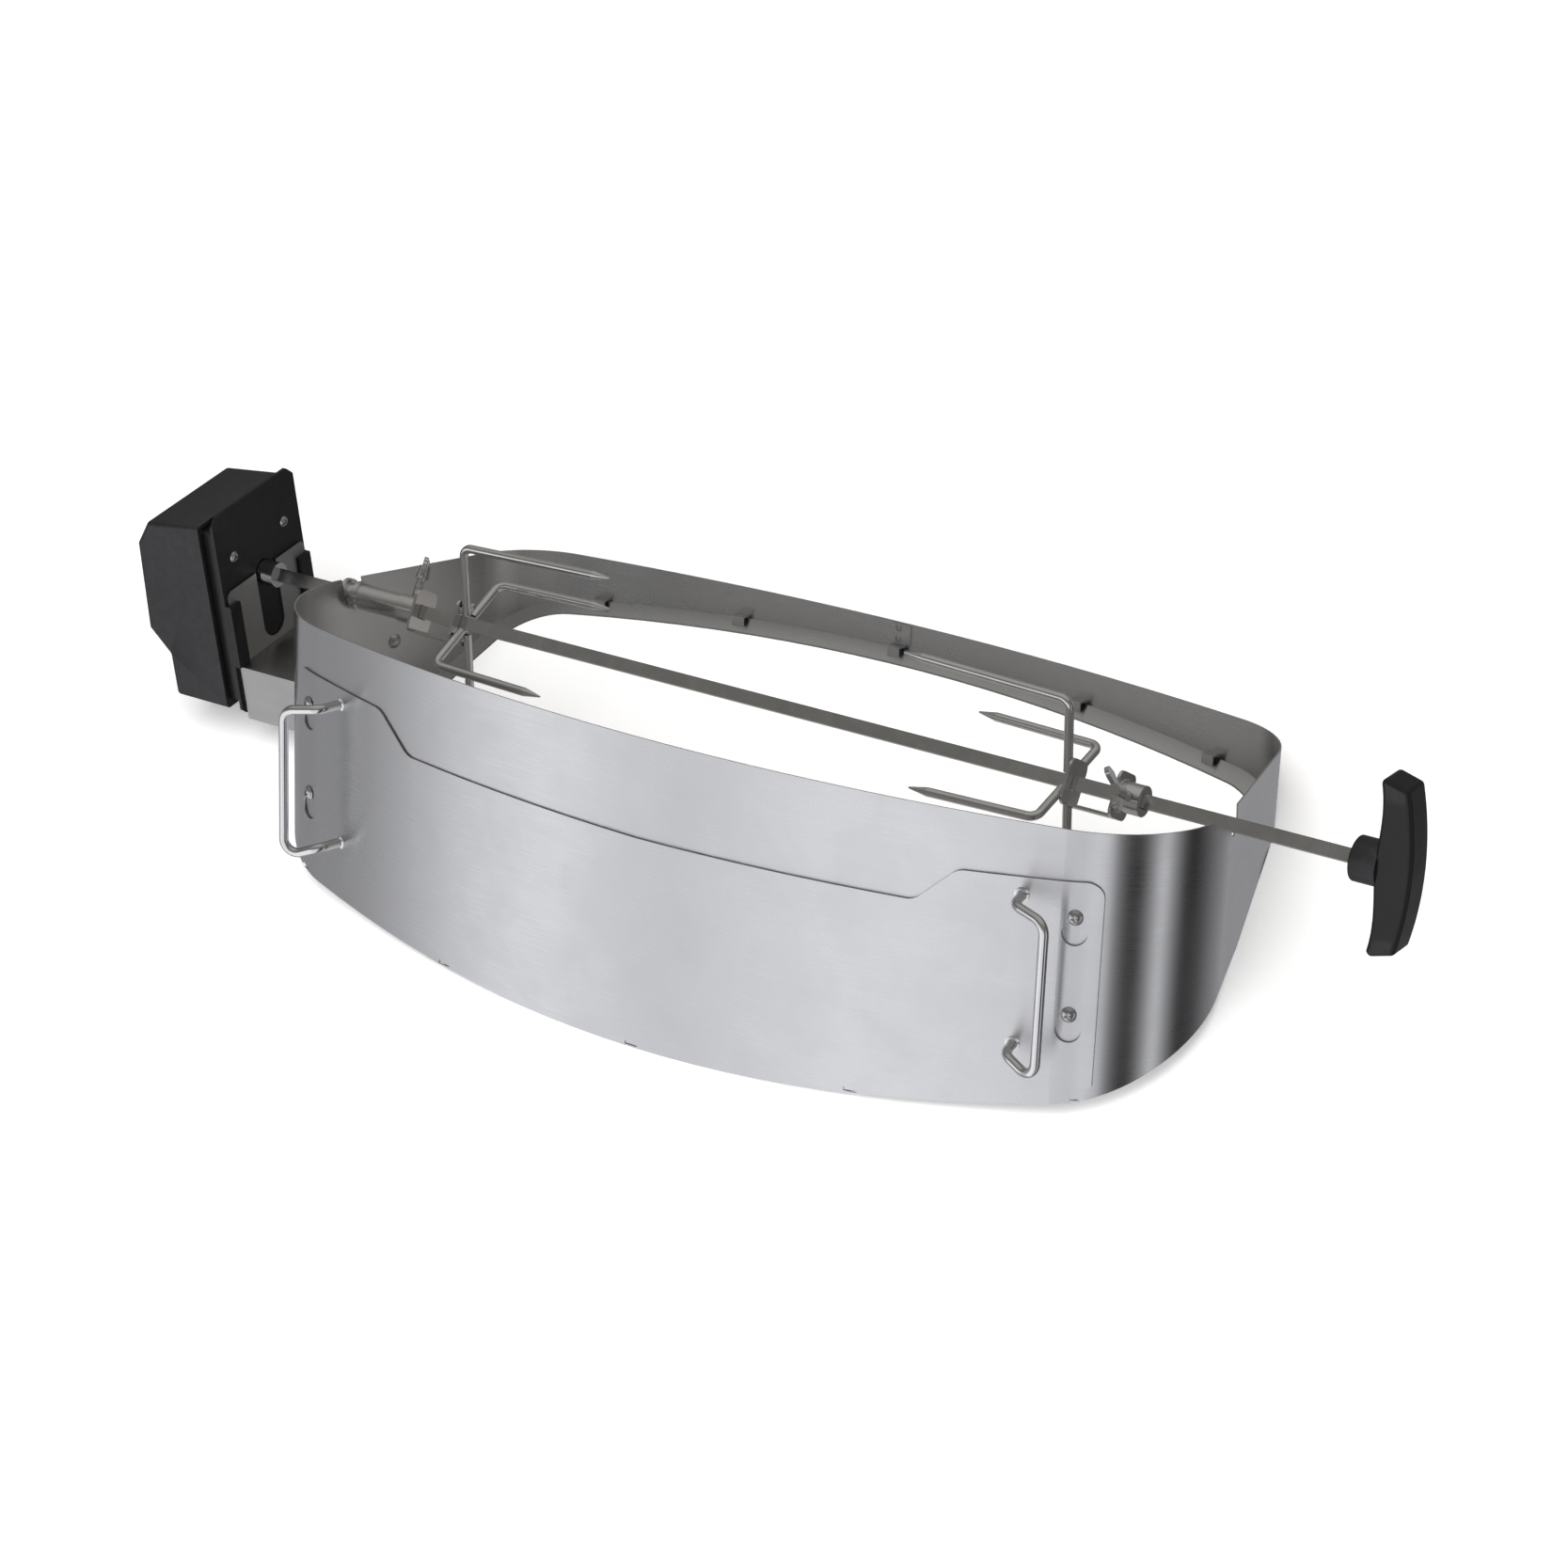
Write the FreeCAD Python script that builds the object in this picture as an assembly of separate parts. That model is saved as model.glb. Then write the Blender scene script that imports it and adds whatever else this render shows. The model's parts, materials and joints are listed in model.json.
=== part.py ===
"""Rotisserie ring: a bowed sheet-steel ring with a lift-off door, a motor on a bracket and a forked spit.

Every piece is first built in the wall frame: X runs along the spit from the motor to the T-handle,
Y runs from the door to the back, and Z is parallel to the upright walls.  finish() then turns each
piece so that the slanted underside of the ring lies on z = 0.  Sizes are in mm and angles in degrees.
"""
import FreeCAD, Part
import math
import os

V = FreeCAD.Vector
X_AXIS = V(1, 0, 0)
Y_AXIS = V(0, 1, 0)
Z_AXIS = V(0, 0, 1)
LEFT = -1
RIGHT = 1

# ---------------------------------------------------------------- ring plan and its two sloping edges
FRONT_Y = -154.5          # outermost point of the bowed front
BACK_Y = 144.7            # outermost point of the bowed back
SIDE_X = 301.5            # half width of the ring on the line y = 0
SIDE_ANGLE = 13.6         # each side wall leans inwards towards the back
FRONT_BOW_R = 985.0
BACK_BOW_R = 1260.0
FRONT_CORNER_R = 75.0
BACK_CORNER_R = 56.0
WALL_T = 1.0
RIM_Z = 67.7              # height of the top rim on the line y = 0
RIM_SLOPE = 2.9           # the rim falls slightly towards the back
SEAT_Z = -33.5            # height of the seat on the line y = 0
SEAT_SLOPE = 27.8         # the seat climbs towards the back
ARCH_BACK_Y = 10.0        # the lower edge lifts off the seat in an arch from the front to here
ARCH_RISE = 11.0
FLANGE_W = 12.0
FLANGE_T = 1.0
REACH = 500.0             # larger than any piece, for cutting solids
MARGIN = 60.0             # larger than any local depth or height
STUB = 10.0               # half length of the cutters that make holes in sheet

# ---------------------------------------------------------------- seam and locating clips
SEAM_X = -10.5
SEAM_LEFT = 4.5           # the lap reaches further on one side of its rivets than on the other
SEAM_RIGHT = 8.5
SEAM_RIVET_D = 4.5
SEAM_RIVET_Z = 53.4
SEAM_RIVET_PITCH = 7.0
SEAM_RIVET_HEAD_H = 1.1
SIDE_RIVET_D = 3.0
SIDE_RIVET_HEAD_D = 9.0
SIDE_RIVET_HEAD_H = 1.8
SIDE_RIVET_Y = 35.6       # behind the bracket, on the left wall
SIDE_RIVET_Z = 36.9
CLIP_W = 8.0
CLIP_DEPTH = 7.0
CLIP_RISE = 3.4           # top of a clip above the lower edge of the wall
CLIP_T = 1.2
CLIP_TAB_H = 2.0
CLIP_TAB_FOOT = 0.5
CLIP_TAB_SHORT = 0.5      # the end of a tab lies this far inside the wall's outer face
CLIP_GAP = 0.1
FRONT_CLIP_X = (-270.0, -142.0, 0.0, 142.0, 270.0)
BACK_CLIP_X = (-220.0, -122.0, SEAM_X, 122.0, 220.0)

# ---------------------------------------------------------------- door
DOOR_T = 1.0
DOOR_GAP = 0.4            # running gap between the door and the curved wall
DOOR_HALF_W = 277.0
DOOR_END_Z = 45.5         # top of the raised ends
DOOR_RAISED_L = 79.0      # length of each raised end
DOOR_SHOULDER_Z = 40.5
DOOR_RAMP_L = 24.0
DOOR_DIP_Z = 18.0
DOOR_MIDDLE_Z = 15.2
DOOR_HEM = 8.5            # wall left showing below the door
DOOR_CORNER_R = 9.0
DOOR_CURVE_R = 12.0
WINDOW_LAP = 14.0         # wall hidden behind the door all round its opening
WINDOW_FROM_END = 72.0    # from the end of the door to the side of the opening behind it
WINDOW_CORNER_R = 15.0
WINDOW_SILL = 26.0

STUD_FROM_END = 14.0      # from the end of the door
STUD_TOP_Z = 24.0
STUD_PITCH = 57.5
STUD_SHANK_D = 5.0
STUD_HEAD_D = 9.0
STUD_HEAD_T = 2.4
STUD_GAP = 0.4
STUD_NUT_T = 3.5
STUD_NUT_AF = 8.0
THREAD_SHOWING = 0.5      # end of a threaded shank beyond its nut
KEYHOLE_DROP = 9.5
KEYHOLE_D = 14.5

HANDLE_FROM_END = 43.0    # from the end of the door to the feet of a handle
HANDLE_TOP_Z = 32.5
HANDLE_BOTTOM_Z = -56.0
HANDLE_WIRE_D = 5.8
HANDLE_STANDOFF = 16.0
HANDLE_BAR_FROM_END = 24.0
HANDLE_BAR_OUT = 27.5     # from the wall to the middle of the upright bar
HANDLE_BAR_TOP_Z = 29.0
HANDLE_BAR_BOTTOM_Z = -65.0
HANDLE_BEND_R = 8.0
HANDLE_FOOT_D = 9.0
HANDLE_FOOT_T = 1.0

# ---------------------------------------------------------------- spit
SPIT_Y = -21.5
SPIT_Z = 57.5
ROD_W = 8.0
ROD_TURN = -28.0          # how far the spit is turned about its own axis at rest
ROD_MOTOR_END_X = -379.0
ROD_GRIP_END_X = 390.0
ROD_POINT_L = 6.0
FIT_GAP = 0.3             # between pieces that move past each other
SLIP = 0.05               # between pieces fixed to each other
GROOVE_D = 14.0
GROOVE_SIDE_GAP = 0.5
BUSH_FLANGE_D = 19.0
BUSH_FLANGE_T = 3.0
BUSH_D = 16.5
FORK_TRAVEL_GAP = 0.5
NOTCH_FLARE = 50.0        # how far the front edge of the open notch leans over

FERRULE_D = 26.0
FERRULE_X = 381.0
FERRULE_L = 16.0
FERRULE_EDGE_R = 1.0
GRIP_T = 20.6
GRIP_W = 22.0
GRIP_UP = 54.0
GRIP_DOWN = 52.0
GRIP_FLARE = 3.0          # how far the ends reach back towards the ferrule
GRIP_BELLY = 1.5          # the middle reaches back by less, between two hollows for the fingers
GRIP_HOLLOW = 0.55        # place of a hollow between the axis and the end of the grip
GRIP_CROWN = 6.0
GRIP_END_CUT = 5.0
GRIP_EDGE_R = 3.0
GRIP_BOLT_D = 6.0
GRIP_BOLT_L = 14.0

# ---------------------------------------------------------------- forks
LEFT_TINE_X = -222.0
RIGHT_TINE_X = 204.0
HUB_L = 31.0
HUB_W = 22.0
HUB_H = 27.0
HUB_T = 1.8
HUB_CORNER_R = 5.0
COLLAR_D = 18.0
COLLAR_L = 13.5
PRONG_D = 5.4
PRONG_BEND_R = 6.0
PRONG_ROOT_GAP = 0.8      # between the foot of a prong and the corner of the spit
PRONG_POINT_L = 12.0
PRONG_POINT_D = 1.1
LONG_LEG = 50.5
LONG_TINE = 108.0
LONG_ANGLE = 95.0
SHORT_LEG = 37.0
SHORT_TINE = 81.0
LEFT_SHORT_ANGLE = 27.0
RIGHT_SHORT_ANGLE = 17.0
SPLAY = 2.0               # the tines spread a little towards their points
WING_SCREW_D = 5.0
WING_HEAD_R = 20.0        # distance from the spit axis to the foot of the wings
WING_HUB_D = 9.0
WING_HUB_TOP_D = 7.0
WING_HUB_H = 8.0
WING_SPAN = 30.0
WING_H = 13.0
WING_T = 2.6
# one wing: share of the half span, share of the height, corner radius
WING_OUTLINE = ((0.15, 0.04, 0), (0.75, 0.35, 3), (1.0, 1.0, 3), (0.55, 1.0, 3), (0.15, 0.49, 0))
WING_TURN = -58.0         # the wings as they were left when the screws were tightened

# ---------------------------------------------------------------- motor, in its own tilted frame
MOTOR_TILT = 12.5
BACK_PLATE_X = -380.0     # outer face of the black back plate
BACK_PLATE_T = 2.0
BACK_PLATE_TOP = 56.5
BACK_PLATE_BOTTOM = -84.0
BACK_PLATE_TOP_CUT = 6.0
BACK_PLATE_BOTTOM_CUT = 4.0
BACK_PLATE_CORNER_R = 3.0
BRACKET_T = 1.5
BRACKET_HALF_W = 38.0
BRACKET_TOP = 4.0
BRACKET_BOTTOM = -94.0
BRACKET_HEM = 10.0        # height of the lower edge of the bracket above the seat
BRACKET_CORNER_R = 4.0
LEDGE_W = -49.0
SLOT_W = 20.0
SLOT_BOTTOM = -45.0
LIP_TOP = -5.0
LIP_W = 8.0
PAD_HALF_W = 34.0
PAD_TOP = -36.0
BRACKET_BOLT_D = 5.0
BRACKET_BOLT_FRONT_V = -14.0
BRACKET_BOLT_BACK_V = 22.0
BRACKET_BOLT_UP = -43.0
BRACKET_BOLT_LOW = -66.0
BRACKET_BOLT_HEAD_D = 9.5
BRACKET_BOLT_HEAD_T = 3.0
BRACKET_NUT_AF = 8.0
BRACKET_NUT_T = 4.0

HOUSING_T = 2.5
HOUSING_X = -390.0        # open edge of the housing
HOUSING_HALF_W = 41.0
HOUSING_TOP = 48.5
HOUSING_BOTTOM = -82.0
HOUSING_CHIN_X = -432.0
HOUSING_CHIN_TOP = -52.0
HOUSING_FACE_X = -446.0
HOUSING_FACE_BOTTOM = -36.0
HOUSING_FACE_TOP = 26.0
HOUSING_BROW_TOP = 43.0
FACE_LEAN = 3.0           # the flat outer face leans inwards by this much at its top
BROW_DEPTH = 14.0
HOUSING_EDGE_R = 3.0
COVER_STEP = 4.5          # how far the cover is set in from the housing
COVER_T = 3.0
COVER_CORNER_R = 2.0
BOSS_WALL = 2.5
COVER_TONGUE = 3.0
PLATE_SCREW_V = 25.0
PLATE_SCREW_HIGH = 23.0
PLATE_SCREW_LOW = -62.0
PLATE_SCREW_L = 9.0
PLATE_SCREW_D = 3.5
PLATE_SCREW_HEAD_D = 7.0
PLATE_SCREW_HEAD_T = 2.0

SOCKET_D = 16.0
SOCKET_HUB_D = 11.2
SOCKET_TAIL_D = 6.4
SOCKET_X = -366.0         # open end of the socket
SOCKET_DEPTH_GAP = 0.5
BUSHING_T = 2.5
GEAR_MODULE = 0.8
TOOTH_ABOVE = 0.85        # height and depth of a tooth, in modules
TOOTH_BELOW = 1.15
TOOTH_TIP = 0.1           # half widths of a tooth, in pitches
TOOTH_FOOT = 0.27
PINION_TEETH = 10
IDLER_TEETH = 40
IDLER_PINION_TEETH = 12
OUTPUT_TEETH = 48
GEAR_W = 6.0
GEAR_LAYER_GAP = 2.0
OUTPUT_GEAR_X = -396.0
IDLER_ANGLE = 50.0
PINION_ANGLE = 180.0
ARBOR_D = 3.0
SHAFT_D = 2.0
RUNNING_GAP = 0.06
GEAR_PLATE_T = 1.5
GEAR_PLATE_LOW = -14.0
GEAR_PLATE_GAP = 1.0
POST_D = 5.0
POST_WALL_GAP = 1.0       # between a post and the wall of the cover
POST_W = -10.0
DRIVE_MOTOR_D = 24.4
DRIVE_MOTOR_L = 22.0
DRIVE_MOTOR_EDGE_R = 1.5
MOTOR_BOSS_D = 6.0

CELL_D = 26.2
CELL_L = 50.0
CELL_CAP_D = 7.5
CELL_CAP_L = 1.5
CELL_EDGE_R = 1.0
CELL_X = -411.0
CELL_LOW_W = -58.5
CELL_HIGH_W = -29.5
SPRING_D = 11.0
SPRING_WIRE_D = 1.2
SPRING_TURNS = 4
CONTACT_T = 0.8
CAP_CONTACT_W = 12.0
SPRING_PLATE_W = 16.0
HATCH_W = 56.0
HATCH_H = 40.0
HATCH_W_CENTRE = -14.0
HATCH_CORNER_R = 3.0
HATCH_GROOVES = 5
HATCH_GROOVE_W = 20.0
HATCH_GROOVE_T = 0.6
HATCH_GROOVE_LOW = -15.0
HATCH_GROOVE_PITCH = 3.0
ROCKER_W = 20.0
ROCKER_H = 10.0
ROCKER_W_CENTRE = 18.0
ROCKER_SWING = 7.0
ROCKER_DEPTH = 8.0        # from the outer face to the foot of the rocker; its pin is halfway
ROCKER_PROUD = 2.4
ROCKER_VALLEY = 1.0
ROCKER_EDGE_R = 0.8
ROCKER_FOOT_R = 2.0
ROCKER_PIN_D = 2.0
ROCKER_END_GAP = 1.2      # room for the rocker's ends to swing
BEZEL_W = 2.5
BEZEL_T = 1.2
FRAME_WALL = 1.5
FRAME_BACK_GAP = 2.0

parts = {}


# ---------------------------------------------------------------- drawing helpers
def rounded(points):
    """Closed wire through (x, y, corner radius) points, with each corner rounded by its radius."""
    tangents = []
    for index, (x, y, radius) in enumerate(points):
        here = V(x, y, 0)
        before = V(*points[index - 1][:2], 0) - here
        after = V(*points[(index + 1) % len(points)][:2], 0) - here
        before.normalize()
        after.normalize()
        half = before.getAngle(after) / 2
        reach = radius / math.tan(half) if radius else 0.0
        middle = before + after
        if radius:
            middle.normalize()
            middle = here + middle * (radius / math.sin(half) - radius)
        tangents.append((here + before * reach, middle, here + after * reach, radius))
    edges = []
    for index, (enter, middle, leave, radius) in enumerate(tangents):
        if radius:
            edges.append(Part.Arc(enter, middle, leave).toShape())
        follow = tangents[(index + 1) % len(tangents)][0]
        if leave.distanceToPoint(follow) > 1e-6:
            edges.append(Part.LineSegment(leave, follow).toShape())
    return Part.Wire(edges)


def upright(points, low, high):
    """Prism on a rounded outline drawn in X and Y."""
    face = Part.Face(rounded(points))
    face.translate(V(0, 0, low))
    return face.extrude(V(0, 0, high - low))


def fore_and_aft(points, low, high):
    """Prism on a rounded outline drawn in X and Z, running along Y."""
    solid = upright(points, -high, -low)
    solid.rotate(V(), X_AXIS, 90)
    return solid


def crosswise(points, low, high):
    """Prism on a rounded outline drawn in Y and Z, running along X."""
    solid = upright(points, low, high)
    solid.rotate(V(), V(1, 1, 1), 120)
    return solid


def rectangle(half_w, low, high, radius=0.0):
    return [(-half_w, low, radius), (half_w, low, radius), (half_w, high, radius), (-half_w, high, radius)]


def box(x, y, z):
    """Box from three (low, high) ranges."""
    return Part.makeBox(x[1] - x[0], y[1] - y[0], z[1] - z[0], V(x[0], y[0], z[0]))


def bar(diameter, low, high, y=0.0, z=0.0):
    """Round bar along X."""
    return Part.makeCylinder(diameter / 2, high - low, V(low, y, z), X_AXIS)


def hexagon(across_flats, low, high):
    """Six-sided bar along X."""
    radius = across_flats / math.sqrt(3)
    corners = [(radius * math.cos(math.radians(a)), radius * math.sin(math.radians(a)), 0)
               for a in range(0, 360, 60)]
    return crosswise(corners, low, high)


def dome(diameter, height, x=0.0):
    """Domed head standing on the plane at x and pointing along +X."""
    radius = (diameter ** 2 / 4 + height ** 2) / (2 * height)
    ball = Part.makeSphere(radius, V(x + height - radius, 0, 0))
    return ball.common(box((x, x + height + 1), (-diameter, diameter), (-diameter, diameter)))


def bent_wire(points, diameter, radius):
    """Round wire through the points, with one bend radius at every corner."""
    edges = []
    start = points[0]
    for corner, follow in zip(points[1:-1], points[2:]):
        back = (start - corner).normalize()
        ahead = (follow - corner).normalize()
        half = back.getAngle(ahead) / 2
        reach = radius / math.tan(half)
        enter = corner + back * reach
        leave = corner + ahead * reach
        middle = corner + (back + ahead).normalize() * (radius / math.sin(half) - radius)
        edges.append(Part.LineSegment(start, enter).toShape())
        edges.append(Part.Arc(enter, middle, leave).toShape())
        start = leave
    edges.append(Part.LineSegment(start, points[-1]).toShape())
    ring = Part.Wire(Part.makeCircle(diameter / 2, points[0], points[1] - points[0]))
    return Part.Wire(edges).makePipeShell([ring], True, False)


def fuse(solids):
    whole = solids[0].fuse(solids[1:]) if len(solids) > 1 else solids[0]
    return whole.removeSplitter()


# ---------------------------------------------------------------- placing helpers
def on_spit(shape, turn=0.0):
    """Moves a piece built about the X axis on to the spit, turned about it."""
    shape.rotate(V(), X_AXIS, turn)
    shape.translate(V(0, SPIT_Y, SPIT_Z))
    return shape


def hung(shape):
    """Moves a piece from the motor's tilted frame to the wall frame."""
    return on_spit(shape, MOTOR_TILT)


def side_x(y):
    """Half width of the ring's outer face on a straight side wall."""
    return SIDE_X - y * math.tan(math.radians(SIDE_ANGLE))


def front_point(x, z, out=0.0):
    """Point in front of the wall's bowed front or a rounded front corner, and the outward direction there."""
    corner = front_corner_centre()
    side = math.copysign(1.0, x)
    bend = (abs(x) - corner.x) / FRONT_CORNER_R
    on_corner = bend > (corner.x / (FRONT_BOW_R - FRONT_CORNER_R))
    angle = side * math.asin(bend) if on_corner else math.asin(x / FRONT_BOW_R)
    normal = V(math.sin(angle), -math.cos(angle), 0)
    centre = V(side * corner.x, corner.y, 0) if on_corner else V(0, FRONT_Y + FRONT_BOW_R, 0)
    radius = FRONT_CORNER_R if on_corner else FRONT_BOW_R
    return centre + normal * (radius + out) + V(0, 0, z), normal


def front_corner_centre():
    """Centre of the right front corner, which touches the front bow and the side wall."""
    lean = math.radians(SIDE_ANGLE)
    bow_centre_y = FRONT_Y + FRONT_BOW_R
    reach = FRONT_BOW_R - FRONT_CORNER_R
    low, high = FRONT_Y, BACK_Y
    for _ in range(60):
        y = (low + high) / 2
        x = side_x(y) - FRONT_CORNER_R / math.cos(lean)
        if math.hypot(x, y - bow_centre_y) > reach:
            low = y
        else:
            high = y
    return V(x, y, 0)


def facing(shape, point, direction):
    """Moves a piece built along +X so that it points along the direction from the point."""
    shape.Placement = FreeCAD.Placement(point, FreeCAD.Rotation(X_AXIS, direction)).multiply(shape.Placement)
    return shape


# ---------------------------------------------------------------- ring
def bow(radius, y, sign, half_w):
    """Shallow arc across the ring through (0, y)."""
    fall = radius - math.sqrt(radius ** 2 - half_w ** 2)
    return Part.Arc(V(-half_w, y + sign * fall, 0), V(0, y, 0), V(half_w, y + sign * fall, 0))


def ring_block(inset):
    """Upright block with the ring's outline, drawn in by the inset all round."""
    lean = math.radians(SIDE_ANGLE)
    wide = SIDE_X * 1.4
    shift = inset / math.cos(lean)
    front = bow(FRONT_BOW_R - inset, FRONT_Y + inset, 1, wide)
    back = bow(BACK_BOW_R - inset, BACK_Y - inset, -1, wide)
    sides = []
    for side in (LEFT, RIGHT):
        low = V(side * (side_x(-REACH) - shift), -REACH, 0)
        high = V(side * (side_x(REACH) - shift), REACH, 0)
        sides.append(Part.LineSegment(low, high))
    corners = {}
    for name, curve in (("front", front), ("back", back)):
        for side, line in zip((LEFT, RIGHT), sides):
            hit = curve.intersect(line)[0]
            corners[name, side] = V(hit.X, hit.Y, 0)
    edges = [
        Part.Arc(corners["front", LEFT], V(0, FRONT_Y + inset, 0), corners["front", RIGHT]).toShape(),
        Part.LineSegment(corners["front", RIGHT], corners["back", RIGHT]).toShape(),
        Part.Arc(corners["back", RIGHT], V(0, BACK_Y - inset, 0), corners["back", LEFT]).toShape(),
        Part.LineSegment(corners["back", LEFT], corners["front", LEFT]).toShape(),
    ]
    face = Part.Face(Part.Wire(edges))
    face.translate(V(0, 0, -REACH / 2))
    block = face.extrude(V(0, 0, REACH))
    for name, radius in (("front", FRONT_CORNER_R), ("back", BACK_CORNER_R)):
        upright_edges = []
        for edge in block.Edges:
            middle = edge.valueAt((edge.FirstParameter + edge.LastParameter) / 2)
            for side in (LEFT, RIGHT):
                if math.hypot(middle.x - corners[name, side].x, middle.y - corners[name, side].y) < 1e-3:
                    upright_edges.append(edge)
        block = block.makeFillet(radius - inset, upright_edges)
    return block


def seat_line_z(y):
    """Height of the flat plane that the ring stands on."""
    return SEAT_Z + y * math.tan(math.radians(SEAT_SLOPE))


def seat_z(y):
    """Height of the ring's lower edge: the flat plane, or the arch that spans the front corners."""
    half = (ARCH_BACK_Y - FRONT_Y) / 2
    radius = (half ** 2 + ARCH_RISE ** 2) / (2 * ARCH_RISE)
    along = y - (ARCH_BACK_Y + FRONT_Y) / 2
    lift = math.sqrt(radius ** 2 - along ** 2) - radius + ARCH_RISE if abs(along) < half else 0.0
    return seat_line_z(y) + lift


def rim_z(y):
    return RIM_Z - y * math.tan(math.radians(RIM_SLOPE))


def above_seat(rise):
    """Everything above the ring's lower edge, raised by a height."""
    near, far = FRONT_Y - MARGIN, BACK_Y + MARGIN
    middle = (ARCH_BACK_Y + FRONT_Y) / 2
    arch_ends = [V(0, y, seat_z(y)) for y in (FRONT_Y, middle, ARCH_BACK_Y)]
    arch = Part.Arc(*arch_ends)
    corners = [V(0, ARCH_BACK_Y, seat_z(ARCH_BACK_Y)), V(0, far, seat_line_z(far)), V(0, far, REACH)]
    corners += [V(0, near, REACH), V(0, near, seat_line_z(near)), V(0, FRONT_Y, seat_z(FRONT_Y))]
    edges = [arch.toShape()]
    for start, end in zip(corners, corners[1:]):
        edges.append(Part.LineSegment(start, end).toShape())
    face = Part.Face(Part.Wire(edges))
    face.translate(V(-2 * REACH, 0, rise))
    return face.extrude(V(4 * REACH, 0, 0))


def below_rim(drop):
    """Everything below the sloping top rim, lowered by a depth."""
    near, far = FRONT_Y - MARGIN, BACK_Y + MARGIN
    corners = [(near, -REACH, 0), (far, -REACH, 0)]
    corners += [(far, rim_z(far) - drop, 0), (near, rim_z(near) - drop, 0)]
    return crosswise(corners, -2 * REACH, 2 * REACH)


def ring_skin(low, high):
    """Upright wall between two insets, as tall as the blocks."""
    return ring_block(low).cut(ring_block(high))


def from_door_end(side, distance):
    """X of a place that lies a distance inside one end of the door."""
    return side * (DOOR_HALF_W - distance)


def door_top():
    """Upper edge of the door between its raised ends, from right to left."""
    shoulder = from_door_end(RIGHT, DOOR_RAISED_L)
    half = [(shoulder, DOOR_SHOULDER_Z, DOOR_CURVE_R), (shoulder - DOOR_RAMP_L, DOOR_DIP_Z, DOOR_CURVE_R)]
    return half + [(0.0, DOOR_MIDDLE_Z, 0.0)] + [(-x, z, r) for x, z, r in reversed(half)]


def window_cutter():
    """Opening in the front wall behind the door, clear of the door's studs and handles."""
    top = DOOR_DIP_Z - WINDOW_LAP
    half = from_door_end(RIGHT, WINDOW_FROM_END)
    outline = rectangle(half, -REACH / 2, top, WINDOW_CORNER_R)
    solid = fore_and_aft(outline, FRONT_Y - MARGIN, SPIT_Y)
    return solid.common(above_seat(WINDOW_SILL))


def notch_cutter(side, width, drop, flare):
    """Open notch for the spit; it leans like the motor so that both lift out together."""
    points = [(-width / 2, 0, 0), (width / 2, 0, 0), (width / 2, RIM_Z, 0)]
    points.append((-width / 2 - RIM_Z * math.tan(math.radians(flare)), RIM_Z, 0))
    middle = side * side_x(SPIT_Y)
    slot = crosswise(points, middle - MARGIN / 2, middle + MARGIN / 2)
    slot = slot.fuse(bar(drop * 2, middle - MARGIN / 2, middle + MARGIN / 2))
    return hung(slot)


def clip_places():
    """Where each locating clip stands, and the outward direction of the wall there."""
    places = []
    for x in FRONT_CLIP_X:
        places.append(front_point(x, 0.0))
    for x in BACK_CLIP_X:
        angle = math.asin(x / BACK_BOW_R)
        normal = V(math.sin(angle), math.cos(angle), 0)
        places.append((V(0, BACK_Y - BACK_BOW_R, 0) + normal * BACK_BOW_R, normal))
    return places


def make_ring():
    skin = ring_skin(0.0, WALL_T)
    wall = skin.common(above_seat(0.0)).common(below_rim(0.0))
    lap_box = box((SEAM_X - SEAM_LEFT, SEAM_X + SEAM_RIGHT), (SPIT_Y, BACK_Y), (-REACH / 2, REACH / 2))
    lap = ring_skin(WALL_T, 2 * WALL_T).common(lap_box)
    lap = lap.common(above_seat(CLIP_RISE + 2 * WALL_T)).common(below_rim(WALL_T))
    wall = wall.fuse(lap)
    wall = wall.cut(window_cutter())
    wall = wall.cut(notch_cutter(LEFT, GROOVE_D + 2 * FIT_GAP, GROOVE_D / 2 + FIT_GAP, 0.0))
    rod_reach = ROD_W / math.sqrt(2) + 2 * FIT_GAP
    wall = wall.cut(notch_cutter(RIGHT, 2 * rod_reach, rod_reach, NOTCH_FLARE))
    wall = wall.cut(tab_solid(CLIP_GAP, CLIP_GAP))
    wall = wall.cut(facing(bar(SIDE_RIVET_D, -STUB, STUB), *side_rivet_place()))
    for point, normal in stud_places():
        wall = wall.cut(facing(bar(STUD_SHANK_D + 2 * SLIP, -STUB, STUB), point, normal))
    for point, normal in bracket_bolt_places():
        wall = wall.cut(facing(bar(BRACKET_BOLT_D + 2 * SLIP, -STUB, STUB), point, normal))
    for rivet in seam_rivet_places():
        wall = wall.cut(facing(bar(SEAM_RIVET_D / 2, -STUB, STUB), *rivet))
    return wall.removeSplitter()


def make_flange():
    return ring_skin(WALL_T, FLANGE_W).common(above_seat(0.0).cut(above_seat(flange_rise())))


def flange_rise():
    """Upright height of the flange, which lies square to the slope of the seat."""
    return FLANGE_T / math.cos(math.radians(SEAT_SLOPE))


def tab_solid(gap, end):
    """The tabs that pass through the foot of the wall, grown by a gap, up to their ends."""
    tabs = []
    for point, normal in clip_places():
        low = seat_z(point.y) + flange_rise()
        half = CLIP_W / 2 + gap
        tab = box((-WALL_T - CLIP_TAB_FOOT - gap, end), (-half, half), (-gap, CLIP_TAB_H + gap))
        tabs.append(facing(tab, point + V(0, 0, low), normal))
    return tabs[0].fuse(tabs[1:])


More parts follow.
